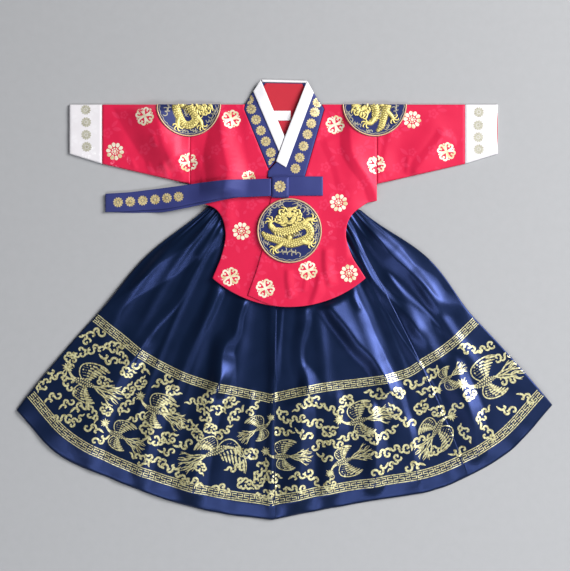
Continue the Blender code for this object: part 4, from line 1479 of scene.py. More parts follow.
@dataclass
class Skirt:
    """The gathered satin skirt with its gold border."""

    finishes: Finishes
    draper: Draper
    stations: tuple[Station, ...] = (
        Station(-112.6, 139.5, -279.8, -22.5, -399.8, -165.0),
        Station(-99.8, 139.7, -245.3, -49.5, -338.3, -231.0),
        Station(-83.3, 139.7, -200.3, -84.0, -260.3, -267.0),
        Station(-62.3, 139.7, -140.3, -114.0, -177.8, -298.5),
        Station(-38.3, 139.7, -77.3, -132.0, -98.3, -318.8),
        Station(-9.8, 139.7, -18.8, -145.5, -17.3, -329.3),
        Station(12.8, 139.7, 54.8, -130.5, 62.3, -313.5),
        Station(38.3, 139.7, 132.8, -120.8, 141.8, -299.3),
        Station(62.3, 139.7, 182.3, -109.5, 219.8, -286.5),
        Station(81.8, 139.7, 206.8, -95.0, 279.8, -262.5),
        Station(99.8, 139.4, 246.8, -69.0, 342.8, -223.5),
        Station(116.0, 134.5, 288.8, -30.0, 402.8, -157.5),
    )
    folds: tuple[SkirtFold, ...] = (
        SkirtFold(0.55, 0.75, 13.0, 5.0, 0.10, 0.62),
        SkirtFold(1.35, 1.55, 10.0, 4.2, 0.06, 0.50),
        SkirtFold(2.30, 2.15, 6.0, 4.0, 0.12, 0.78),
        SkirtFold(3.10, 2.95, 12.0, 5.2, 0.20, 0.95),
        SkirtFold(4.15, 3.90, 15.0, 5.6, 0.22, 1.05),
        SkirtFold(5.60, 5.45, 12.0, -1.6, 0.25, 1.10),
        SkirtFold(6.25, 5.95, 12.0, 5.2, 0.22, 1.00),
        SkirtFold(7.20, 7.35, 17.0, 6.6, 0.18, 0.92),
        SkirtFold(7.95, 8.10, 9.0, 4.0, 0.12, 0.60),
        SkirtFold(9.40, 9.60, 13.0, 5.2, 0.30, 0.80),
        SkirtFold(10.25, 10.30, 12.0, 6.4, 0.06, 0.70),
        SkirtFold(1.60, 0.90, 24.0, 3.4, 0.60, 1.25),
        SkirtFold(2.80, 2.30, 26.0, 2.8, 0.62, 1.30),
        SkirtFold(6.60, 6.80, 26.0, 3.0, 0.62, 1.30),
        SkirtFold(9.80, 9.90, 24.0, 3.2, 0.60, 1.30),
    )
    pleats: tuple[Point, ...] = ((5.07, 5.2), (8.93, 4.6))
    sweeps: tuple[Sweep, ...] = (
        Sweep(((222, 214), (200, 238), (182, 250), (163, 262), (148, 276), (132, 289), (112, 304),
               (99, 326)),
              (14.0, 16.0, 24.0, 29.0, 22.0, 13.0, 20.0, 28.0), 24.0, 6.8),
        Sweep(((232, 222), (214, 240), (196, 262)), (16.0, 14.0, 5.0), 14.0, 4.2),
        Sweep(((208, 252), (195, 272), (178, 304), (156, 328), (140, 352), (128, 372)),
              (5.0, 5.0, 3.2, 4.0, 4.0), 16.0, 1.8),
        Sweep(((226, 280), (213, 308), (198, 336), (183, 372), (174, 402)), (7.0, 11.0), 20.0, 3.2),
        Sweep(((250, 290), (240, 316), (236, 334), (224, 350), (221, 382), (217, 402)),
              (4.5, 6.0, 8.0, 20.0, 22.0, 20.0), 24.0, 7.4),
        Sweep(((284, 296), (281, 330), (278, 384)), (2.0, 2.0), 12.0, 0.9),
        Sweep(((279, 330), (274, 395), (272, 450), (271, 530)), (2.0, 3.0), 12.0, 1.3),
        Sweep(((318, 288), (306, 308), (306, 322), (301, 345), (301, 362), (307, 378), (310, 406)),
              (5.0, 12.0, 8.0, 5.0, 6.0, 22.0, 26.0), 18.0, 6.4),
        Sweep(((312, 262), (324, 292), (332, 308), (346, 325), (360, 344), (376, 362), (388, 384),
               (393, 412)),
              (10.0, 26.0, 38.0, 36.0, 26.0, 15.0, 13.0, 16.0), 24.0, 10.0),
        Sweep(((352, 270), (353, 292), (362, 312)), (6.0, 5.0), 10.0, 1.8),
        Sweep(((349, 222), (356, 244), (368, 272), (381, 290), (398, 306), (414, 324), (428, 348)),
              (4.0, 7.0, 8.0, 7.0, 10.0, 24.0, 18.0), 22.0, 5.0),
        Sweep(((362, 218), (378, 238), (392, 256), (408, 270), (424, 284), (440, 300), (462, 306),
               (474, 334)),
              (6.0, 12.0, 20.0, 12.0, 20.0, 14.0, 7.0, 10.0), 24.0, 5.4),
        Sweep(((384, 270), (402, 292), (424, 312), (444, 334)), (4.0, 5.0), 16.0, 1.3),
        Sweep(((378, 296), (396, 330), (417, 361), (434, 387), (444, 412)), (2.0, 2.6), 14.0, 0.7),
        Sweep(((158, 336), (126, 370), (108, 404), (96, 440), (84, 480)), (12.0, 20.0), 44.0, 5.0),
        Sweep(((230, 360), (217, 392), (206, 430), (196, 480), (188, 530)), (13.0, 22.0), 40.0, 7.4),
        Sweep(((296, 384), (303, 410), (301, 450), (298, 530)), (18.0, 24.0), 36.0, 7.4),
        Sweep(((336, 380), (338, 430), (332, 466), (330, 524)), (9.0, 22.0, 20.0), 24.0, 4.2),
        Sweep(((372, 396), (374, 430), (376, 450), (374, 500)), (8.0, 16.0, 22.0, 10.0), 24.0, 6.0),
        Sweep(((395, 372), (402, 404), (412, 440), (418, 500)), (7.0, 9.0, 6.0), 30.0, 2.4),
        Sweep(((454, 350), (460, 380), (472, 420), (478, 470)), (12.0, 20.0, 14.0), 30.0, 5.0),
        Sweep(((170, 372), (160, 410), (150, 444), (138, 500)), (8.0, 16.0, 12.0), 24.0, 4.4),
        Sweep(((252, 386), (250, 420), (250, 462)), (6.0, 10.0, 5.0), 18.0, 2.8),
    )
    gathers: tuple[tuple[float, float, float, float], ...] = (
        # how many round the front, height, phase, where it has died away
        (22.0, 0.8, 0.0, 0.34),
        (37.0, 0.35, 1.1, 0.24),
    )
    calm: float = 0.55
    steep: float = 1.35
    hem_rise: float = 2.6
    hem_edge: float = 2.7
    swell: Point = (8.5, 15.0)
    border_t: float = 0.55
    rows: int = 118
    columns: int = 330
    wall: float = 1.0
    bed: float = 4.4
    floor: float = 2.9
    waist_wall: float = 1.2
    back_margin: float = 2.6
    cloud_tries: int = 14000
    cloud_gap: float = 19.5
    # from which x on, over what width, and by how much the clouds' gap grows
    cloud_thinning: tuple[float, float, float] = (60.0, 250.0, 7.0)
    bird_clearance: float = 12.0
    crest: tuple[Point, ...] = ((0.0, 7.6), (0.08, 8.3), (0.34, 8.3), (0.5, 12.0), (0.75, 11.0), (1.0, 8.5))

    def place(self, station: Array, t: Array) -> Array:
        """The plan of the skirt.

        Args:
            station: number round the front, from the right fold at 0 to the left fold at 11.
            t: share of the way from waist to hem.

        Returns:
            x and y in the last axis.
        """
        station, t = np.broadcast_arrays(np.asarray(station, float), np.asarray(t, float))
        table = np.array(self.stations)
        left = curve_through(table[:6], np.minimum(station, 5.0))
        right = curve_through(table[5:], np.maximum(station - 5.0, 0.0))
        row = np.where((station <= 5.0)[..., None], left, right)
        b = self.border_t
        shares = [(t - b) * (t - 1) / b, t * (t - 1) / (b * (b - 1)), t * (t - b) / (1 - b)]
        plan = np.einsum("...k,...kc->...c", np.stack(shares, axis=-1), row.reshape(*row.shape[:-1], 3, 2))
        swell = 0.7 * np.sin(math.pi * np.minimum(1.0, t / b)) ** 2
        right = self.swell[1] * smooth(9.0, 11.0, station) * swell
        left = self.swell[0] * smooth(2.0, 0.0, station) * swell
        return plan + np.stack([right - left, right + left], axis=-1)

    def top(self, station: Array, t: Array) -> Array:
        """The upper face of the skirt's front."""
        station, t = np.broadcast_arrays(np.asarray(station, float), np.asarray(t, float))
        low, high = np.maximum(0.0, station - 0.25), np.minimum(11.0, station + 0.25)
        spacing = np.linalg.norm(self.place(high, t) - self.place(low, t), axis=-1) / (high - low)
        total = np.zeros_like(t)
        for fold in self.folds:
            away = (station - (fold.waist + (fold.hem - fold.waist) * t)) * spacing
            width = fold.half_width * (0.55 + 0.65 * t)
            strength = smooth(fold.starts - 0.12, fold.starts + 0.12, t)
            strength = strength * smooth(fold.ends + 0.12, fold.ends - 0.12, t)
            total += self.calm * fold.height * strength * np.exp(-((away / width) ** 2))
        for at, height in self.pleats:
            away = (station - at) * spacing
            strength = smooth(0.02, 0.14, t)
            under = -0.45 * height * np.exp(-((away / 15.0) ** 2)) * smooth(0.2, 1.0, away)
            over = height * np.exp(-((away / (7.0 + 9.0 * t)) ** 2)) * smooth(1.0, 0.2, away)
            total += (under + over) * strength
        for count, height, phase, fade in self.gathers:
            wave = np.cos(math.tau * count * station / 11.0 + phase + 0.8 * np.sin(station * 1.7 + phase))
            total += height * (wave + 0.5) * smooth(fade, 0.0, t)
        spot = self.place(station, t)
        x, y = spot[..., 0], spot[..., 1]
        keys = np.array(self.crest)
        roof = np.interp(t, keys[:, 0], keys[:, 1])
        sides = smooth(0.0, 0.8, station) * smooth(11.0, 10.2, station)
        wanted = self.bed + total * (0.35 + 0.65 * sides)
        middle, half = 0.5 * (self.floor + roof), 0.5 * (roof - self.floor)
        held = middle + half * np.tanh((wanted - middle) / half)
        jacket = edge_distance(np.stack([x.ravel(), y.ravel()], axis=1), np.array(CUT.back_outline()))
        free = smooth(2.0, -9.0, jacket.reshape(x.shape))
        fine = sweep_height(self.sweeps, x, y, self.steep) * (0.25 + 0.75 * sides)
        fine = fine + crumple(x, y, 0.30, 52.0, SEED + 1)
        hem = np.clip((t - 0.94) / 0.06, 0.0, 1.0)
        wave = 0.5 + 0.7 * np.sin(station * 9.0 + 1.4 * np.sin(station * 3.1))
        lying = held + self.hem_rise * smooth(0.66, 0.90, t) * (0.6 + 0.4 * sides) + free * fine
        return np.maximum(lying * (1.0 - hem) + (self.hem_edge + wave) * hem, 2.5)

    def front(self) -> Object:
        """The skirt's front with both side folds turned down to the floor."""
        close = np.array([-1.6, -0.9, -0.4, -0.1, 0.15, 0.4, 0.8, 1.4]) * 0.012
        extra = [close + at for at, _ in self.pleats]
        stations = np.unique(np.concatenate([np.linspace(0, 11, self.columns), *extra]))
        t = np.linspace(0, 1, self.rows)
        s, tt = np.meshgrid(stations, t)
        plan = self.place(s, tt)
        top = np.concatenate([plan, self.top(s, tt)[..., None]], axis=-1)
        outer, inner = [], []
        for end, towards in ((0, 1), (-1, -2)):
            run = top[:, towards, :2] - top[:, end, :2]
            run /= np.linalg.norm(run, axis=1, keepdims=True)
            edge, z = top[:, end, :2], top[:, end, 2:]
            outside = [(0.0, 0.0 * z), (-0.3, 0.35 * z), (-0.2, 0.7 * z), (0.35, 0.92 * z), (1.2, z)]
            inside = [(w + self.wall, np.maximum(h - 0.9 * (k > 1), 0.0)) for k, (w, h) in enumerate(outside)]
            for target, turned in ((outer, outside), (inner, inside)):
                column = [np.concatenate([edge + run * w, h + 0.0 * z], axis=1) for w, h in turned]
                target.append(column if end == 0 else column[::-1])
        under = top.copy()
        under[..., 2] -= self.wall
        outer_grid = np.concatenate([np.stack(outer[0], 1), top[:, 1:-1], np.stack(outer[1], 1)], axis=1)
        inner_grid = np.concatenate([np.stack(inner[0], 1), under[:, 1:-1], np.stack(inner[1], 1)], axis=1)
        outer_grid[-1, :, 2] -= np.minimum(0.45, 0.3 * outer_grid[-1, :, 2])
        made = shell_between("skirt_front_cloth", outer_grid, inner_grid, self.finishes.navy, False, True)
        dress(made, Slot.NAVY_SATIN, "skirt_front")
        return made

    def back(self) -> Object:
        """The skirt's back, flat on the floor."""
        stations = np.arange(1, 22) / 2
        waist, hem = self.place(stations, 0.0), self.place(stations[::-1], 1.0)
        downs = np.arange(1, 16) / 16
        outline = np.concatenate([waist, self.place(11.0, downs), hem, self.place(0.0, downs[::-1])])
        moved = outline - self.back_margin * left_of(run_round(outline))
        panel = Panel("skirt_back", moved, on_floor, 1.1, Slot.NAVY_SATIN, Hold.GATHERED, "", 6.0, 1.0)
        return panel.build(self.finishes)

    def waistband(self) -> Object:
        """The band under the jacket that the skirt is gathered into."""
        rings = []
        for inset in (0.0, self.waist_wall):
            half, top = 112.0 - inset, 6.0 - inset
            across = np.linspace(-half + 2, half - 2, 40)
            low, high = [(x, inset) for x in across], [(x, top) for x in across[::-1]]
            ring = low + [(half, 3.0)] + high + [(-half, 3.0)]
            rings.append(np.array([[(x, y, z) for x, z in ring] for y in np.linspace(140.6, 168.0, 8)]))
        made = shell_between("waistband_cloth", *rings, self.finishes.navy, True, True)
        dress(made, Slot.NAVY_SATIN, "waistband")
        return made

    def border(self, cloth: Object) -> None:
        """The gold border: two key frets, phoenixes and clouds between them."""
        foil = self.finishes.foil
        motifs = Motifs(foil)
        frets = (
            # name, how far down at five stations from the right fold to the left one, height
            ("upper_fret", (0.560, 0.560, 0.558, 0.552, 0.550), 13.2),
            ("lower_fret", (0.920, 0.932, 0.922, 0.920, 0.926), 13.8),
        )
        stations, pitch = np.linspace(0.03, 10.97, 120), 18.0
        for name, levels, height in frets:
            t = np.interp(stations, (0.0, 2.0, 3.5, 5.5, 11.0), levels)
            path = resampled(self.place(stations, t), 3.0)
            made = self.draper.run(motifs.fret(height, pitch), path, cloth, foil, pitch)
            made.name = name
            dress(made, Slot.GOLD_EMBROIDERY)
        birds = (
            # px, py, way of the tail in degrees, size, side, wings open
            (84, 382, -20, 0.98, 1, False),
            (153.5, 409, -23, 0.84, 1, False),
            (117, 434, -24, 0.74, 1, False),
            (217, 450, 204, 0.96, 1, True),
            (262, 427, 205, 0.62, -1, False),
            (281, 456, 4, 0.74, 1, False),
            (357, 421, 18, 0.84, 1, False),
            (342, 461, 19, 0.76, -1, False),
            (437, 427, 242, 0.84, 1, False),
            (445, 379, 34, 0.58, -1, False),
            (484, 382, 27, 1.02, 1, False),
        )
        spots = np.array([(*from_photo([bird[:2]])[0], math.radians(bird[2]), *bird[3:5]) for bird in birds])
        open_wings = np.array([bird[-1] for bird in birds])
        for word, chosen, spread in (("open", open_wings, 84.0), ("swept", ~open_wings, 0.0)):
            bird = motifs.phoenix(spread)
            made = self.draper.scatter(f"phoenixes_{word}", bird, spots[chosen], cloth, foil)
            dress(made, Slot.GOLD_EMBROIDERY)
        clouds = self.cloud_spots(spots)
        for kind in range(4):
            cloud = motifs.cloud(kind)
            made = self.draper.scatter(f"border_clouds_{kind}", cloud, clouds[kind::4], cloth, foil)
            dress(made, Slot.GOLD_EMBROIDERY)
    def cloud_spots(self, birds: Array) -> Array:
        """Places for clouds: close together between the frets, and clear of the phoenixes.

        Args:
            birds: the phoenixes' places, turns, sizes and sides.

        Returns:
            The same five numbers for each cloud.
        """
        draw = np.random.default_rng(SEED)
        skeleton = np.array([
            (-30, 13), (-24, 8), (-15, 3), (0, 0), (12, 0), (26, 0), (40, 0), (54, -12), (54, 0), (54, 13),
            (-9, 12), (-9, 24), (4, 28), (20, 29), (8, 15), (-8, -12), (0, -22), (18, -22), (12, -10),
            (33, 28), (24, -20),
        ], float)
        bodies = [
            skeleton * (size, size * side) @ turned(turn).T + (x, y) for x, y, turn, size, side in birds
        ]
        taken = np.concatenate(bodies)
        chosen: list[Array] = []
        station = draw.uniform(0.06, 10.94, self.cloud_tries)
        t = draw.uniform(0.594, 0.898, self.cloud_tries)
        start, width, more = self.cloud_thinning
        for spot in self.place(station, t):
            gap = self.cloud_gap + more * max(0.0, spot[0] - start) / width
            if np.min(np.hypot(*(taken - spot).T)) < self.bird_clearance:
                continue
            if chosen and np.min(np.hypot(*(np.array(chosen) - spot).T)) < gap:
                continue
            chosen.append(spot)
        found = np.array(chosen)
        turn = draw.uniform(-0.7, 0.7, len(found)) + np.where(draw.random(len(found)) < 0.5, math.pi, 0.0)
        size = draw.uniform(0.88, 1.08, len(found))
        side = np.where(draw.random(len(found)) < 0.5, 1.0, -1.0)
        return np.column_stack([found, turn, size, side])

    def build(self) -> None:
        """Makes the whole skirt."""
        self.back()
        self.waistband()
        cloth = self.front()
        self.border(cloth)


# The jacket


@dataclass
class Jacket:
    """The red jacket: back, two fronts, sleeves, cuffs, collar and tie."""

    finishes: Finishes
    draper: Draper
    lie: Lie = field(default_factory=lambda: LIE)
    cut: Cut = field(default_factory=lambda: CUT)

    def panels(self) -> dict[str, Object]:
        """The back and both fronts."""
        lie, cut, top = self.lie, self.cut, self.lie.shoulder_y
        left, right = cut.hem_centre - cut.hem_half, cut.hem_centre + cut.hem_half
        back = cut.back_outline()
        under = (
            [(-cut.armhole_x, top)] + cut.side(-1) + cut.hem_run(left, 20.0, 40)
            + [(20.0, 180.0), (-19.2, 187.4), (-22.6, 195.0), (-59.4, 286.1), (-57.9, top)]
        )
        over = (
            [(-18.8, 184.6), (-18.8, 153.0), (-31.5, 75.0), (-40.0, 45.0)]
            + cut.hem_run(-53.6, right, 50, 5.8) + cut.side(1)[::-1]
            + [(cut.armhole_x, top), (57.3, top), (61.2, 286.0), (32.0, 184.6)]
        )
        wall, silk, laid = lie.wall, Slot.RED_SILK, Hold.LAID
        panels = (
            Panel("jacket_back", back, lie.skirt_lift, wall, silk, laid, "skirt_front_cloth", 3.2, 1.2),
            Panel("jacket_front_right", under, raised(lie.front_top, -wall), wall, silk, laid,
                  "jacket_back_cloth", 2.3, 1.3),
            Panel("jacket_front_left", over, raised(lie.over_top, -wall), wall, silk, laid,
                  "jacket_front_right_cloth", 2.3, 1.3),
        )
        return {panel.node: panel.build(self.finishes) for panel in panels}
    def tube(self, name: str, side: int, x_from: float, x_to: float, mouth: float) -> Object:
        """A stretch of sleeve pressed flat.

        Args:
            name: the solid it stands for.
            side: -1 for the wearer's right, 1 for the left.
            x_from: its start, from the centre line.
            x_to: its end.
            mouth: how far the upper layer's edge draws back at the open end.

        Returns:
            The tube.
        """
        lie = self.lie
        columns = max(8, round((x_to - x_from) / 2.2))
        outer, inner = [], []
        for x in np.linspace(x_from, x_to, columns):
            foot, top = self.cut.foot_at(x), lie.shoulder_y
            seam = min(x - x_from, (x_to - x) if mouth == 0.0 else 9.0)
            dip = 0.55 * math.exp(-((seam / 1.1) ** 2))
            for wall, store in ((0.0, outer), (0.9, inner)):
                low, high = foot + wall, top - wall
                turns = np.linspace(0.0, 1.0, 44)
                floor = [(y, wall) for y in low + 0.9 + (high - low - 1.8) * np.linspace(0, 1, 16)]
                ys = high - 0.9 - (high - low - 1.8) * turns
                xs = np.full_like(ys, side * x)
                heights = lie.front_top(xs, ys) - wall - dip
                draw = mouth * np.sin(math.pi * turns) ** 1.5 * smooth(x_to - 14.0, x_to, x)
                ring = [(side * x, y, z) for y, z in floor]
                ring.append((side * x, high, 0.5 * (wall + heights[0])))
                ring += [(side * (x - d), y, z) for y, z, d in zip(ys, heights, draw)]
                ring.append((side * x, low, 0.5 * (wall + heights[-1])))
                store.append(ring)
        slot = Slot.WHITE_BROCADE if name.startswith("cuff") else Slot.RED_SILK
        shape = np.array(outer), np.array(inner)
        made = shell_between(f"{name}_cloth", *shape, self.finishes.cloth(slot), True, side < 0)
        if slot is Slot.WHITE_BROCADE:
            made.data.materials.append(self.finishes.lining)
            count = len(outer) * len(outer[0])
            for polygon in made.data.polygons:
                if all(v >= count for v in polygon.vertices):
                    polygon.material_index = 1
        dress(made, slot, name)
        length = x_to - x_from
        wide, narrow = (2 * (lie.shoulder_y - self.cut.foot_at(x)) for x in (x_from, x_to))
        wide * MM
        0.5 * length * (wide + narrow) * MM * MM
        return made
    def sleeves(self) -> dict[str, Object]:
        """Both sleeves with cuffs and the piping between them."""
        made, cut, piping = {}, self.cut, self.finishes.piping
        seam = 271.9
        for word, side in (("right", -1), ("left", 1)):
            sleeve, cuff = f"sleeve_{word}", f"cuff_{word}"
            made[sleeve] = self.tube(sleeve, side, cut.armhole_x + 0.2, seam - 0.1, 0.0)
            made[cuff] = self.tube(cuff, side, seam + 0.1, cut.cuff_end_x, 1.6 * (side > 0))
            ys = np.linspace(292.0, cut.cuff_seam_foot + 1.0, 50)
            line = np.column_stack([np.full_like(ys, side * seam), ys])
            bead = stroke_mesh("bead", [Stroke([(0.0, 0.0), (2.1, 0.0)], (1.3, 1.3))], piping, 0.7, 0.45)
            bead = self.draper.run(bead, line, made[cuff], piping, 2.0, 0.05)
            bead.name = f"piping_{word}"
            dress(bead, Slot.WHITE_TRIM)
        return made

    def collar(self) -> dict[str, Object]:
        """The collar band, its white edging, the lining inside the neck and the label."""
        lie, ribbon, trim, folded = self.lie, Slot.NAVY_RIBBON, Slot.WHITE_TRIM, Hold.FOLDED
        edging = Panel(
            "neckband_back", [(-33.2, 330.6), (-32.2, 326.6), (33.4, 325.4), (34.8, 328.6)],
            on_floor, 2.6, trim, folded, step=1.6, turn=0.8,
        ).build(self.finishes, declared=False)
        stand = Panel(
            "collar_back",
            [(-56.6, 293.6), (-46.6, 310.2), (-35.4, 326.0), (35.6, 324.8), (46.2, 308.7), (55.6, 293.6)],
            on_floor, lie.wall, ribbon,
        ).build(self.finishes, [edging])
        right, left = raised(lie.front_top, -lie.wall), raised(lie.over_top, -lie.wall)
        panels = (
            Panel("neck_lining",
                  [(-27.0, 325.0), (28.0, 324.0), (44.0, 297.0), (30.0, 222.0), (6.0, 200.0), (-14.0, 204.0),
                   (-45.0, 297.0)],
                  raised(lie.back_top, 0.4), 1.0, Slot.RED_LINING, rests_on="jacket_back_cloth"),
            Panel("collar_right",
                  [(-46.8, 310.2), (-57.3, 293.0), (-59.1, 286.0), (-22.3, 195.9), (-12.7, 207.0),
                   (-10.6, 209.0), (0.9, 241.0), (-34.5, 324.0)],
                  right, lie.band_wall, ribbon, folded, "jacket_front_right_cloth", 2.0, 1.4),
            Panel("collar_left",
                  [(46.4, 308.7), (34.6, 323.0), (2.6, 244.0), (-10.0, 206.5), (-12.3, 204.3), (-23.3, 192.0),
                   (-23.6, 182.4), (31.0, 182.4), (60.7, 286.0), (56.6, 293.2)],
                  left, lie.band_wall, ribbon, folded, "jacket_front_left_cloth", 2.0, 1.4),
            Panel("neckband_right",
                  [(-45.3, 312.3), (-34.2, 329.6), (-32.8, 326.4), (1.6, 244.3), (-6.7, 221.6)],
                  raised(right, 2.0), 1.0, trim, folded, "collar_right_cloth", 2.0, 0.7),
            Panel("neckband_left",
                  [(45.3, 310.2), (35.6, 327.6), (34.0, 324.6), (2.1, 243.9), (-11.1, 207.0), (3.8, 197.7)],
                  raised(left, 2.0), 1.0, trim, folded, "collar_left_cloth", 2.0, 0.7),
            Panel("size_label",
                  [(-18.0, 283.4), (-18.0, 268.8), (10.6, 268.8), (10.6, 283.4)],
                  raised(lie.back_top, 1.7), 0.7, trim, rests_on="neck_lining_cloth", step=2.0, turn=0.5),
        )
        made = {panel.node: panel.build(self.finishes) for panel in panels}
        return made | {"collar_back": stand, "neckband_back": edging}
    def tie(self) -> dict[str, Object]:
        """The tie: a long end over an almost hidden one, a knot and a short end."""
        lie, ribbon, folded = self.lie, Slot.NAVY_RIBBON, Hold.FOLDED
        route = np.array([
            # x, lower edge, upper edge, how far the lower end peeks out
            (-18.6, 154.5, 180.8, -6.0),
            (-48.0, 153.4, 179.8, -2.0),
            (-80.0, 151.8, 178.4, 1.0),
            (-106.0, 148.6, 176.4, 3.0),
            (-128.0, 145.2, 174.4, 4.0),
            (-155.0, 139.8, 170.8, 4.2),
            (-180.0, 136.0, 167.6, 4.5),
            (-205.0, 134.6, 164.6, 3.5),
            (-232.0, 132.8, 161.4, 2.0),
            (-267.0, 131.6, 159.2, -0.5),
        ])
        x, low, high, shift = curve_through(route, np.linspace(0, len(route) - 1, 60)).T
        upper, lower = np.column_stack([x, high]), np.column_stack([x, low])
        hidden, peeking = np.column_stack([x, low + 12.0]), np.column_stack([x, low - shift])

        def swaying(x: Array, y: Array) -> Array:
            wave = 0.5 * np.sin(x / 21.0) + 0.35 * np.sin(x / 9.0 + y / 14.0)
            return lie.tie_foot(x, y) + 2.4 + np.maximum(wave, -0.2) * smooth(-30.0, -60.0, x) * 0.6

        short = [(7.2, 155.3), (58.7, 155.3), (58.7, 184.2), (7.2, 184.2)]
        knot = [(-18.2, 152.6), (-5.0, 151.8), (8.3, 152.6), (8.8, 168.0), (8.3, 183.4), (-5.0, 184.2),
                (-18.2, 183.4), (-18.7, 168.0)]
        panels = (
            Panel("tie_under", [*hidden, *peeking[::-1]], lie.tie_foot, 1.4, ribbon, folded,
                  "jacket_front_right_cloth", 2.4, 1.2),
            Panel("tie_long", [*upper, *lower[::-1]], swaying, lie.band_wall, ribbon, folded,
                  "tie_under_cloth", 2.0, 1.5),
            Panel("tie_short", short, lie.tie_foot, lie.band_wall, ribbon, folded,
                  "jacket_front_left_cloth", 2.0, 1.5),
            Panel("tie_knot", knot, lie.tie_foot, 5.0, ribbon, folded, "jacket_front_left_cloth", 1.6, 4.0),
        )
        return {panel.node: panel.build(self.finishes) for panel in panels}
    def foil(self, cloths: dict[str, Object]) -> None:
        """The gold flowers and ornaments pressed on the jacket, collar, cuffs and tie."""
        motifs = Motifs(self.finishes.pale)
        small = {
            "collar_left": ((317.5, 103), (314.7, 112.8), (311.2, 124), (307.4, 134.9), (303.5, 146.8),
                            (299.6, 158.4), (295.4, 169.3)),
            "collar_right": ((249, 100), (251.4, 109.6), (256.1, 120.2), (260.9, 131), (265.8, 141.9),
                             (270.9, 153.1), (273.3, 163.3)),
            "tie_long": ((118.5, 202.5), (130.7, 201.8), (143, 200.7), (155.4, 199.7), (167.3, 198.3),
                         (179, 197)),
            "tie_knot": ((280, 187.5),),
            "cuff_right": ((86, 110), (86.5, 122.5), (86.5, 135), (87, 147)),
            "cuff_left": ((478.5, 112.5), (478, 125.5), (478, 137.5), (478.5, 149.5)),
        }
        for node, places in small.items():
            spots = [(*spot, 0.1, 1.16 if node == "tie_knot" else 1.0, 1.0) for spot in from_photo(places)]
            drawn = Motifs(self.finishes.beige if node.startswith("cuff") else self.finishes.coin)
            self.lay(drawn.flower("flower", 7.6, 12, 2.3, 0), f"flowers_{node}", spots, cloths[node])
        large = {
            "sleeve_right": ((115.3, 151.6),),
            "sleeve_left": ((412, 120),),
            "jacket_front_left": ((338.4, 203.3), (348.6, 273.5)),
            "jacket_front_right": ((241.7, 231.5),),
        }
        for node, places in large.items():
            spots = [(*spot, 0.2, 1.0, 1.0) for spot in from_photo(places)]
            self.lay(motifs.flower("blossom", 13.4, 10, 6.2, 8), f"blossoms_{node}", spots, cloths[node])
        knots = {
            "sleeve_right": ((145.7, 117.2), (188.5, 162.5)),
            "jacket_front_right": ((231.5, 119.5), (230.7, 276.8), (249, 178.0), (188.5, 162.5)),
            "jacket_front_left": ((335, 125), (307.8, 270.6), (265.5, 288.3), (376, 165)),
            "sleeve_left": ((446, 152), (376, 165)),
        }
        for node, places in knots.items():
            sizes = [0.72 if place[0] == 249 else 1.0 for place in places]
            spots = [(*spot, 0.35, size, 1.0) for spot, size in zip(from_photo(places), sizes)]
            self.lay(motifs.ornament(), f"ornaments_{node}", spots, cloths[node])

    def lay(self, motif: Object, name: str, spots: list, cloth: Object) -> None:
        """Lays one kind of motif on one piece of cloth."""
        made = self.draper.scatter(name, motif, np.array(spots), cloth, motif.data.materials[0], 0.12)
        dress(made, Slot.GOLD_EMBROIDERY)

    def build(self) -> dict[str, Object]:
        """Makes the whole jacket."""
        cloths = self.panels() | self.sleeves() | self.collar() | self.tie()
        self.foil(cloths)
        return cloths


# The roundels


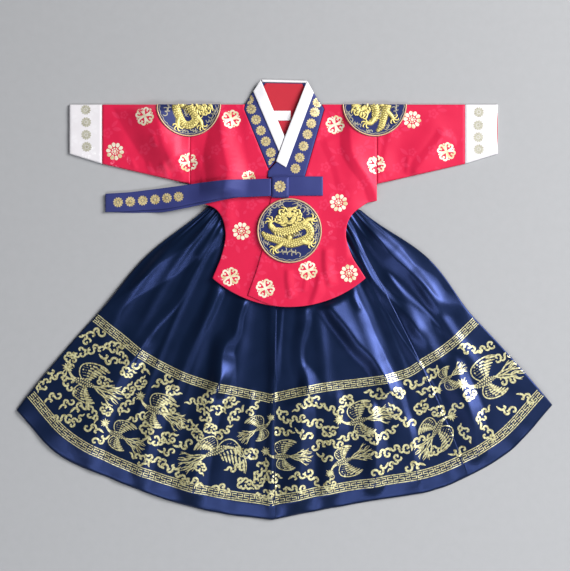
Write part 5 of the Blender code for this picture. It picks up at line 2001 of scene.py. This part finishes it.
@dataclass
class Roundel:
    """An applied roundel: a navy disc with a gold rim and an embroidered dragon."""

    name: str
    centre: Point
    half: bool
    foot: Height
    carrier: str
    turn: float = 0.0
    radius: float = 48.4
    rim_radius: float = 47.0
    wave_radius: float = 43.2
    pearl: Point = (0.0, -10.5)
    mane_centre: float = 18.0
    mane_reach: Point = (22.0, 16.5)
    limbs: tuple = (
        # hip, knee, paw, way of the claws in degrees
        ((-20, 1), (-28, 6), (-28, 13), 110),
        ((20, 10), (27, 16), (33, 17), 10),
        ((-10, -17), (-16, -23), (-22, -27), 235),
        ((18, -15), (25, -18), (31, -18), 340),
    )

    def ground(self, finishes: Finishes) -> Object:
        """The navy ground; a shoulder's shows only the half in front of the fold."""
        start, end = (180.0, 360.0) if self.half else (0.0, 360.0)
        rim = [polar(self.radius, a, *self.centre) for a in np.radians(np.linspace(start, end, 97))]
        panel = Panel(
            self.name, rim if self.half else rim[:-1], raised(self.foot, 0.5), 1.0, Slot.GOLD_EMBROIDERY,
            Hold.LAID, self.carrier, 1.8, 1.0,
        )
        return panel.build(finishes)

    def rim(self) -> list[Stroke]:
        """The thin tan rim."""
        return [Stroke([polar(self.rim_radius, a) for a in np.linspace(0, math.tau, 121)], (2.0,) * 121)]
    def waves(self) -> list[Stroke]:
        """The pale scalloped line inside the rim."""
        turns = np.linspace(0, math.tau, 241)
        reach = self.wave_radius + 1.1 * np.abs(np.sin(14 * turns))
        return [Stroke(list(zip(reach * np.cos(turns), reach * np.sin(turns))), (1.1,) * 241)]

    def body(self, margin: float = 0.0) -> list[Stroke]:
        """The dragon's winding body, thinning to its tail; margin widens it for the stitches underneath."""
        coil = ((-27, 8), (-22, 1), (-12, -1.5), (0, 0.5), (10, 4), (19, 9), (27, 7), (31.5, -1), (29, -9.5),
                (20, -14.5), (9, -18), (-1, -19), (-12, -15.5), (-24, -12), (-34, -9), (-41, -2))
        widths = (5, 8, 9.5, 10.5, 10, 10, 10, 9.5, 9.5, 10, 10.5, 10.5, 10, 9, 7, 2.5)
        return [Stroke(coil, [width + margin for width in widths])]

    def underlay(self) -> list[Stroke]:
        """Olive stitches that outline the body, mane and legs."""
        strokes = self.body(2.6) + [disc(0.0, 19.0, 16.0), disc(*self.pearl, 5.4)]
        for hip, knee, paw, _ in self.limbs:
            strokes.append(Stroke([hip, knee, paw], (8.6, 7.6, 6.6)))
        strokes.append(Stroke([(-21, -6), (-8, -8.6), (5, -7.6), (15, -3.0)], (3.0, 5.0, 5.0, 2.4)))
        return strokes

    def figure(self) -> list[Stroke]:
        """The dragon's head, mane, legs, claws, fins and pearl."""
        strokes = self.head() + self.legs()
        strokes.append(disc(*self.pearl, 3.6))
        line = resampled(np.array(self.body()[0].points, float), 3.6)
        left = left_of(np.gradient(line, axis=0))
        for index in range(3, len(line) - 3):
            fade = 1.0 - 0.35 * index / len(line)
            onward = 2.4 * np.array([left[index][1], -left[index][0]])
            for aside, reach in ((-3.6, -7.8), (3.6, 6.4)):
                foot = line[index] + left[index] * aside * fade
                tip = line[index] + left[index] * reach * fade + onward
                strokes.append(Stroke([tuple(foot), tuple(tip)], (2.2, 0.5)))
        return strokes

    def head(self) -> list[Stroke]:
        """The dragon's face seen from the front, in a mane of curling locks."""
        strokes = []
        for index in range(13):
            turn = math.radians(-30 + 240 * index / 12)
            far = (1.0, 0.80, 0.90)[index % 3]
            curl = 0.42 if turn < math.pi / 2 else -0.42
            steps = ((0.42, 0.0), (0.64, -0.5 * curl), (far, 0.7 * curl), (far - 0.10, 1.5 * curl))
            strokes.append(Stroke([self.on_mane(r, turn + lean) for r, lean in steps], (2.6, 3.6, 2.6, 0.8)))
        strokes.append(Stroke([(0, 29.0), (0, 26.0), (0, 22.6)], (5.0, 3.4, 3.0)))
        strokes.append(Stroke([(-5.4, 13.6), (-2.6, 11.4), (2.6, 11.4), (5.4, 13.6)], (1.6, 3.0, 3.0, 1.6)))
        return strokes + mirrored(
            Stroke([(1.6, 23.4), (5.2, 25.6), (9.4, 24.4)], (1.8, 3.0, 1.4)),
            Stroke([(4.0, 17.0), (6.4, 19.4), (9.0, 17.4)], (2.2, 3.4, 1.8)),
            Stroke([(3.6, 30.0), (7.0, 34.0), (13.0, 35.4)], (2.6, 2.4, 0.7)),
            Stroke([(4.0, 9.4), (8.4, 7.6), (13.4, 8.6)], (2.2, 2.4, 0.7)),
        )

    def on_mane(self, share: float, turn: float) -> Point:
        """A place on the mane, by its share of the way out and its turn."""
        wide, high = self.mane_reach
        return wide * share * math.cos(turn), self.mane_centre + high * share * math.sin(turn)
    def legs(self) -> list[Stroke]:
        """Four legs with spread hooked claws."""
        strokes = []
        for hip, knee, paw, way in self.limbs:
            strokes.append(Stroke([hip, knee, paw], (6.4, 5.2, 4.4)))
            for spread in (-84, -32, 20, 72):
                a = math.radians(way + spread)
                hook = ((0.5, 0.0), (4.4, -0.30), (7.6, 0.0), (7.8, 0.34))
                strokes.append(Stroke([polar(r, a + lean, *paw) for r, lean in hook], (2.4, 2.1, 1.7, 0.5)))
        return strokes

    def shades(self) -> list[Stroke]:
        """Dark stitches that draw the eyes, the open jaw and the folds of the brow."""
        muzzle = [(-4.2, 20.2), (-1.7, 18.6), (0.0, 15.6), (1.7, 18.6), (4.2, 20.2)]
        gaps = [
            Stroke([self.on_mane(r, math.radians(degrees)) for r in (0.60, 0.74, 0.90)], (0.5, 1.5, 0.5))
            for degrees in (-22, 2, 26, 50, 72)
        ]
        return [
            Stroke(muzzle, (1.0, 2.5, 3.0, 2.5, 1.0)),
            Stroke([(-4.4, 9.4), (0.0, 7.6), (4.4, 9.4)], (0.6, 1.1, 0.6)),
            Stroke([(-3.0, 13.6), (0.0, 12.8), (3.0, 13.6)], (0.5, 0.8, 0.5)),
        ] + mirrored(
            disc(5.2, 22.0, 1.0),
            Stroke([(2.6, 27.8), (6.0, 28.2), (10.0, 26.2)], (0.9, 1.2, 0.5)),
            Stroke([(10.8, 21.6), (11.0, 17.6), (8.8, 13.4)], (0.6, 1.2, 0.7)),
            *gaps,
        )
    def clouds(self) -> list[Stroke]:
        """Dull gold clouds that fill the ground between the dragon and the rim."""
        spots = (
            # x, y, turn in degrees, size
            (-18, 36, 30, 1.7), (-29, 26, 80, 1.1), (18, 36, 150, 1.7), (28, 29, 110, 1.1),
            (40, 3, 80, 1.0), (39, -8, 260, 1.0), (-39, 9, 100, 0.9), (-36, -18, 330, 0.9),
            (-11, -32, 0, 1.6), (10, -32, 170, 1.6), (12, -7, 20, 1.0), (-15, -8, 190, 1.0),
        )
        strokes = []
        for x, y, turn, size in spots:
            a = math.radians(turn)
            for lean, side in ((-0.5, 1), (0.9, -1), (2.3, 1)):
                middle = polar(2.6 * size, a + lean, x, y)
                curl = arc(*middle, 2.7 * size, a + lean, side * 4.4, 0.5)
                strokes.append(Stroke(curl, (1.2, 1.5, 1.6, 1.6, 1.5, 1.4, 1.2, 0.8)))
            tail = [(x, y), polar(5.0 * size, a, x, y), polar(8.6 * size, a + 0.3, x, y)]
            strokes.append(Stroke(tail, (1.6, 1.5, 0.5)))
        return strokes

    def build(self, finishes: Finishes, draper: Draper) -> None:
        """Makes the roundel and its embroidery."""
        ground = self.ground(finishes)
        layers = (
            ("clouds", self.clouds(), finishes.cloud, 0.10, 0.25),
            ("underlay", self.underlay(), finishes.olive, 0.15, 0.02),
            ("face", [disc(0.0, 18.8, 10.0)], finishes.gold, 0.50, 0.04),
            ("body", self.body(), finishes.scales, 0.45, 0.16),
            ("figure", self.figure(), finishes.gold, 0.85, 0.30),
            ("shades", self.shades(), finishes.dark, 1.90, 0.10),
            ("rim", self.rim(), finishes.cord, 0.10, 0.45),
            ("waves", self.waves(), finishes.cloud, 0.10, 0.30),
        )
        for word, strokes, finish, lift, crown in layers:
            flat = stroke_mesh(word, strokes, finish, 1.3, crown)
            spots = np.array([[*self.centre, self.turn, 1.0, 1.0]])
            made = draper.scatter(f"{self.name}_{word}", flat, spots, ground, finish, lift)
            dress(made, Slot.GOLD_EMBROIDERY)


# The set


@dataclass
class Studio:
    """A pale floor, soft light and the camera straight above."""

    camera_height: float = 1.9
    frame_width: float = 570 * PIXEL * MM

    def build(self) -> None:
        """Makes floor, lights, sky and camera."""
        pale = Plain((0.40, 0.41, 0.425), 0.9, 2.0, 0.0).material("floor_cloth")
        corners = np.array([(3000 * x, 3000 * y, -0.4) for x, y in ((-1, -1), (1, -1), (1, 1), (-1, 1))])
        floor = make_mesh("floor", corners, [(0, 1, 2, 3)], pale)
        lights = (
            # name, place, size, watts, colour
            ("key", (3.60, 1.75, 2.40), (2.0, 2.0), 302.0, (1.0, 0.98, 0.97)),
            ("shine", (1.40, 0.55, 2.05), (0.9, 0.9), 17.0, (1.0, 0.99, 0.98)),
            ("front", (0.05, -1.50, 1.75), (3.2, 0.5), 32.0, (0.96, 0.97, 1.0)),
        )
        for name, place, size, watts, colour in lights:
            lamp = bpy.data.lights.new(name, "AREA")
            lamp.shape = "RECTANGLE"
            lamp.energy, lamp.size, lamp.size_y, lamp.color = watts, *size, colour
            made = placed_in_scene(name, lamp)
            made.location = place
            made.rotation_euler = (-Vector(place)).to_track_quat("-Z", "Y").to_euler()
        world = bpy.data.worlds.new("sky")
        world.use_nodes = True
        sky = world.node_tree.nodes["Background"].inputs
        sky["Color"].default_value = (0.80, 0.83, 0.88, 1.0)
        sky["Strength"].default_value = 0.10
        bpy.context.scene.world = world
        lens = bpy.data.cameras.new("camera")
        lens.sensor_fit = "HORIZONTAL"
        lens.angle = 2 * math.atan(0.5 * self.frame_width / self.camera_height)
        camera = placed_in_scene("camera", lens)
        camera.location = (*(from_photo([(285.0, 285.5)])[0] * MM), self.camera_height)
        bpy.context.scene.camera = camera
        bpy.context.scene.view_settings.view_transform = "Standard"


def main() -> None:
    """Builds and dresses the set."""
    logging.basicConfig(level=logging.INFO, format="%(name)s %(message)s")
    for old in list(bpy.data.objects):
        bpy.data.objects.remove(old)
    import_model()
    finishes = Finishes()
    draper = Draper()
    Skirt(finishes, draper).build()
    Jacket(finishes, draper).build()
    for roundel in (
        Roundel("roundel_chest", (8.9, 103.4), False, LIE.over_top, "jacket_front_left_cloth"),
        Roundel("roundel_shoulder_right", (-141.6, 293.0), True, LIE.front_top, "sleeve_right_cloth", -1.5),
        Roundel("roundel_shoulder_left", (136.4, 293.0), True, LIE.front_top, "sleeve_left_cloth", 1.6),
    ):
        roundel.build(finishes, draper)
    Studio().build()


if __name__ == "__main__":
    main()
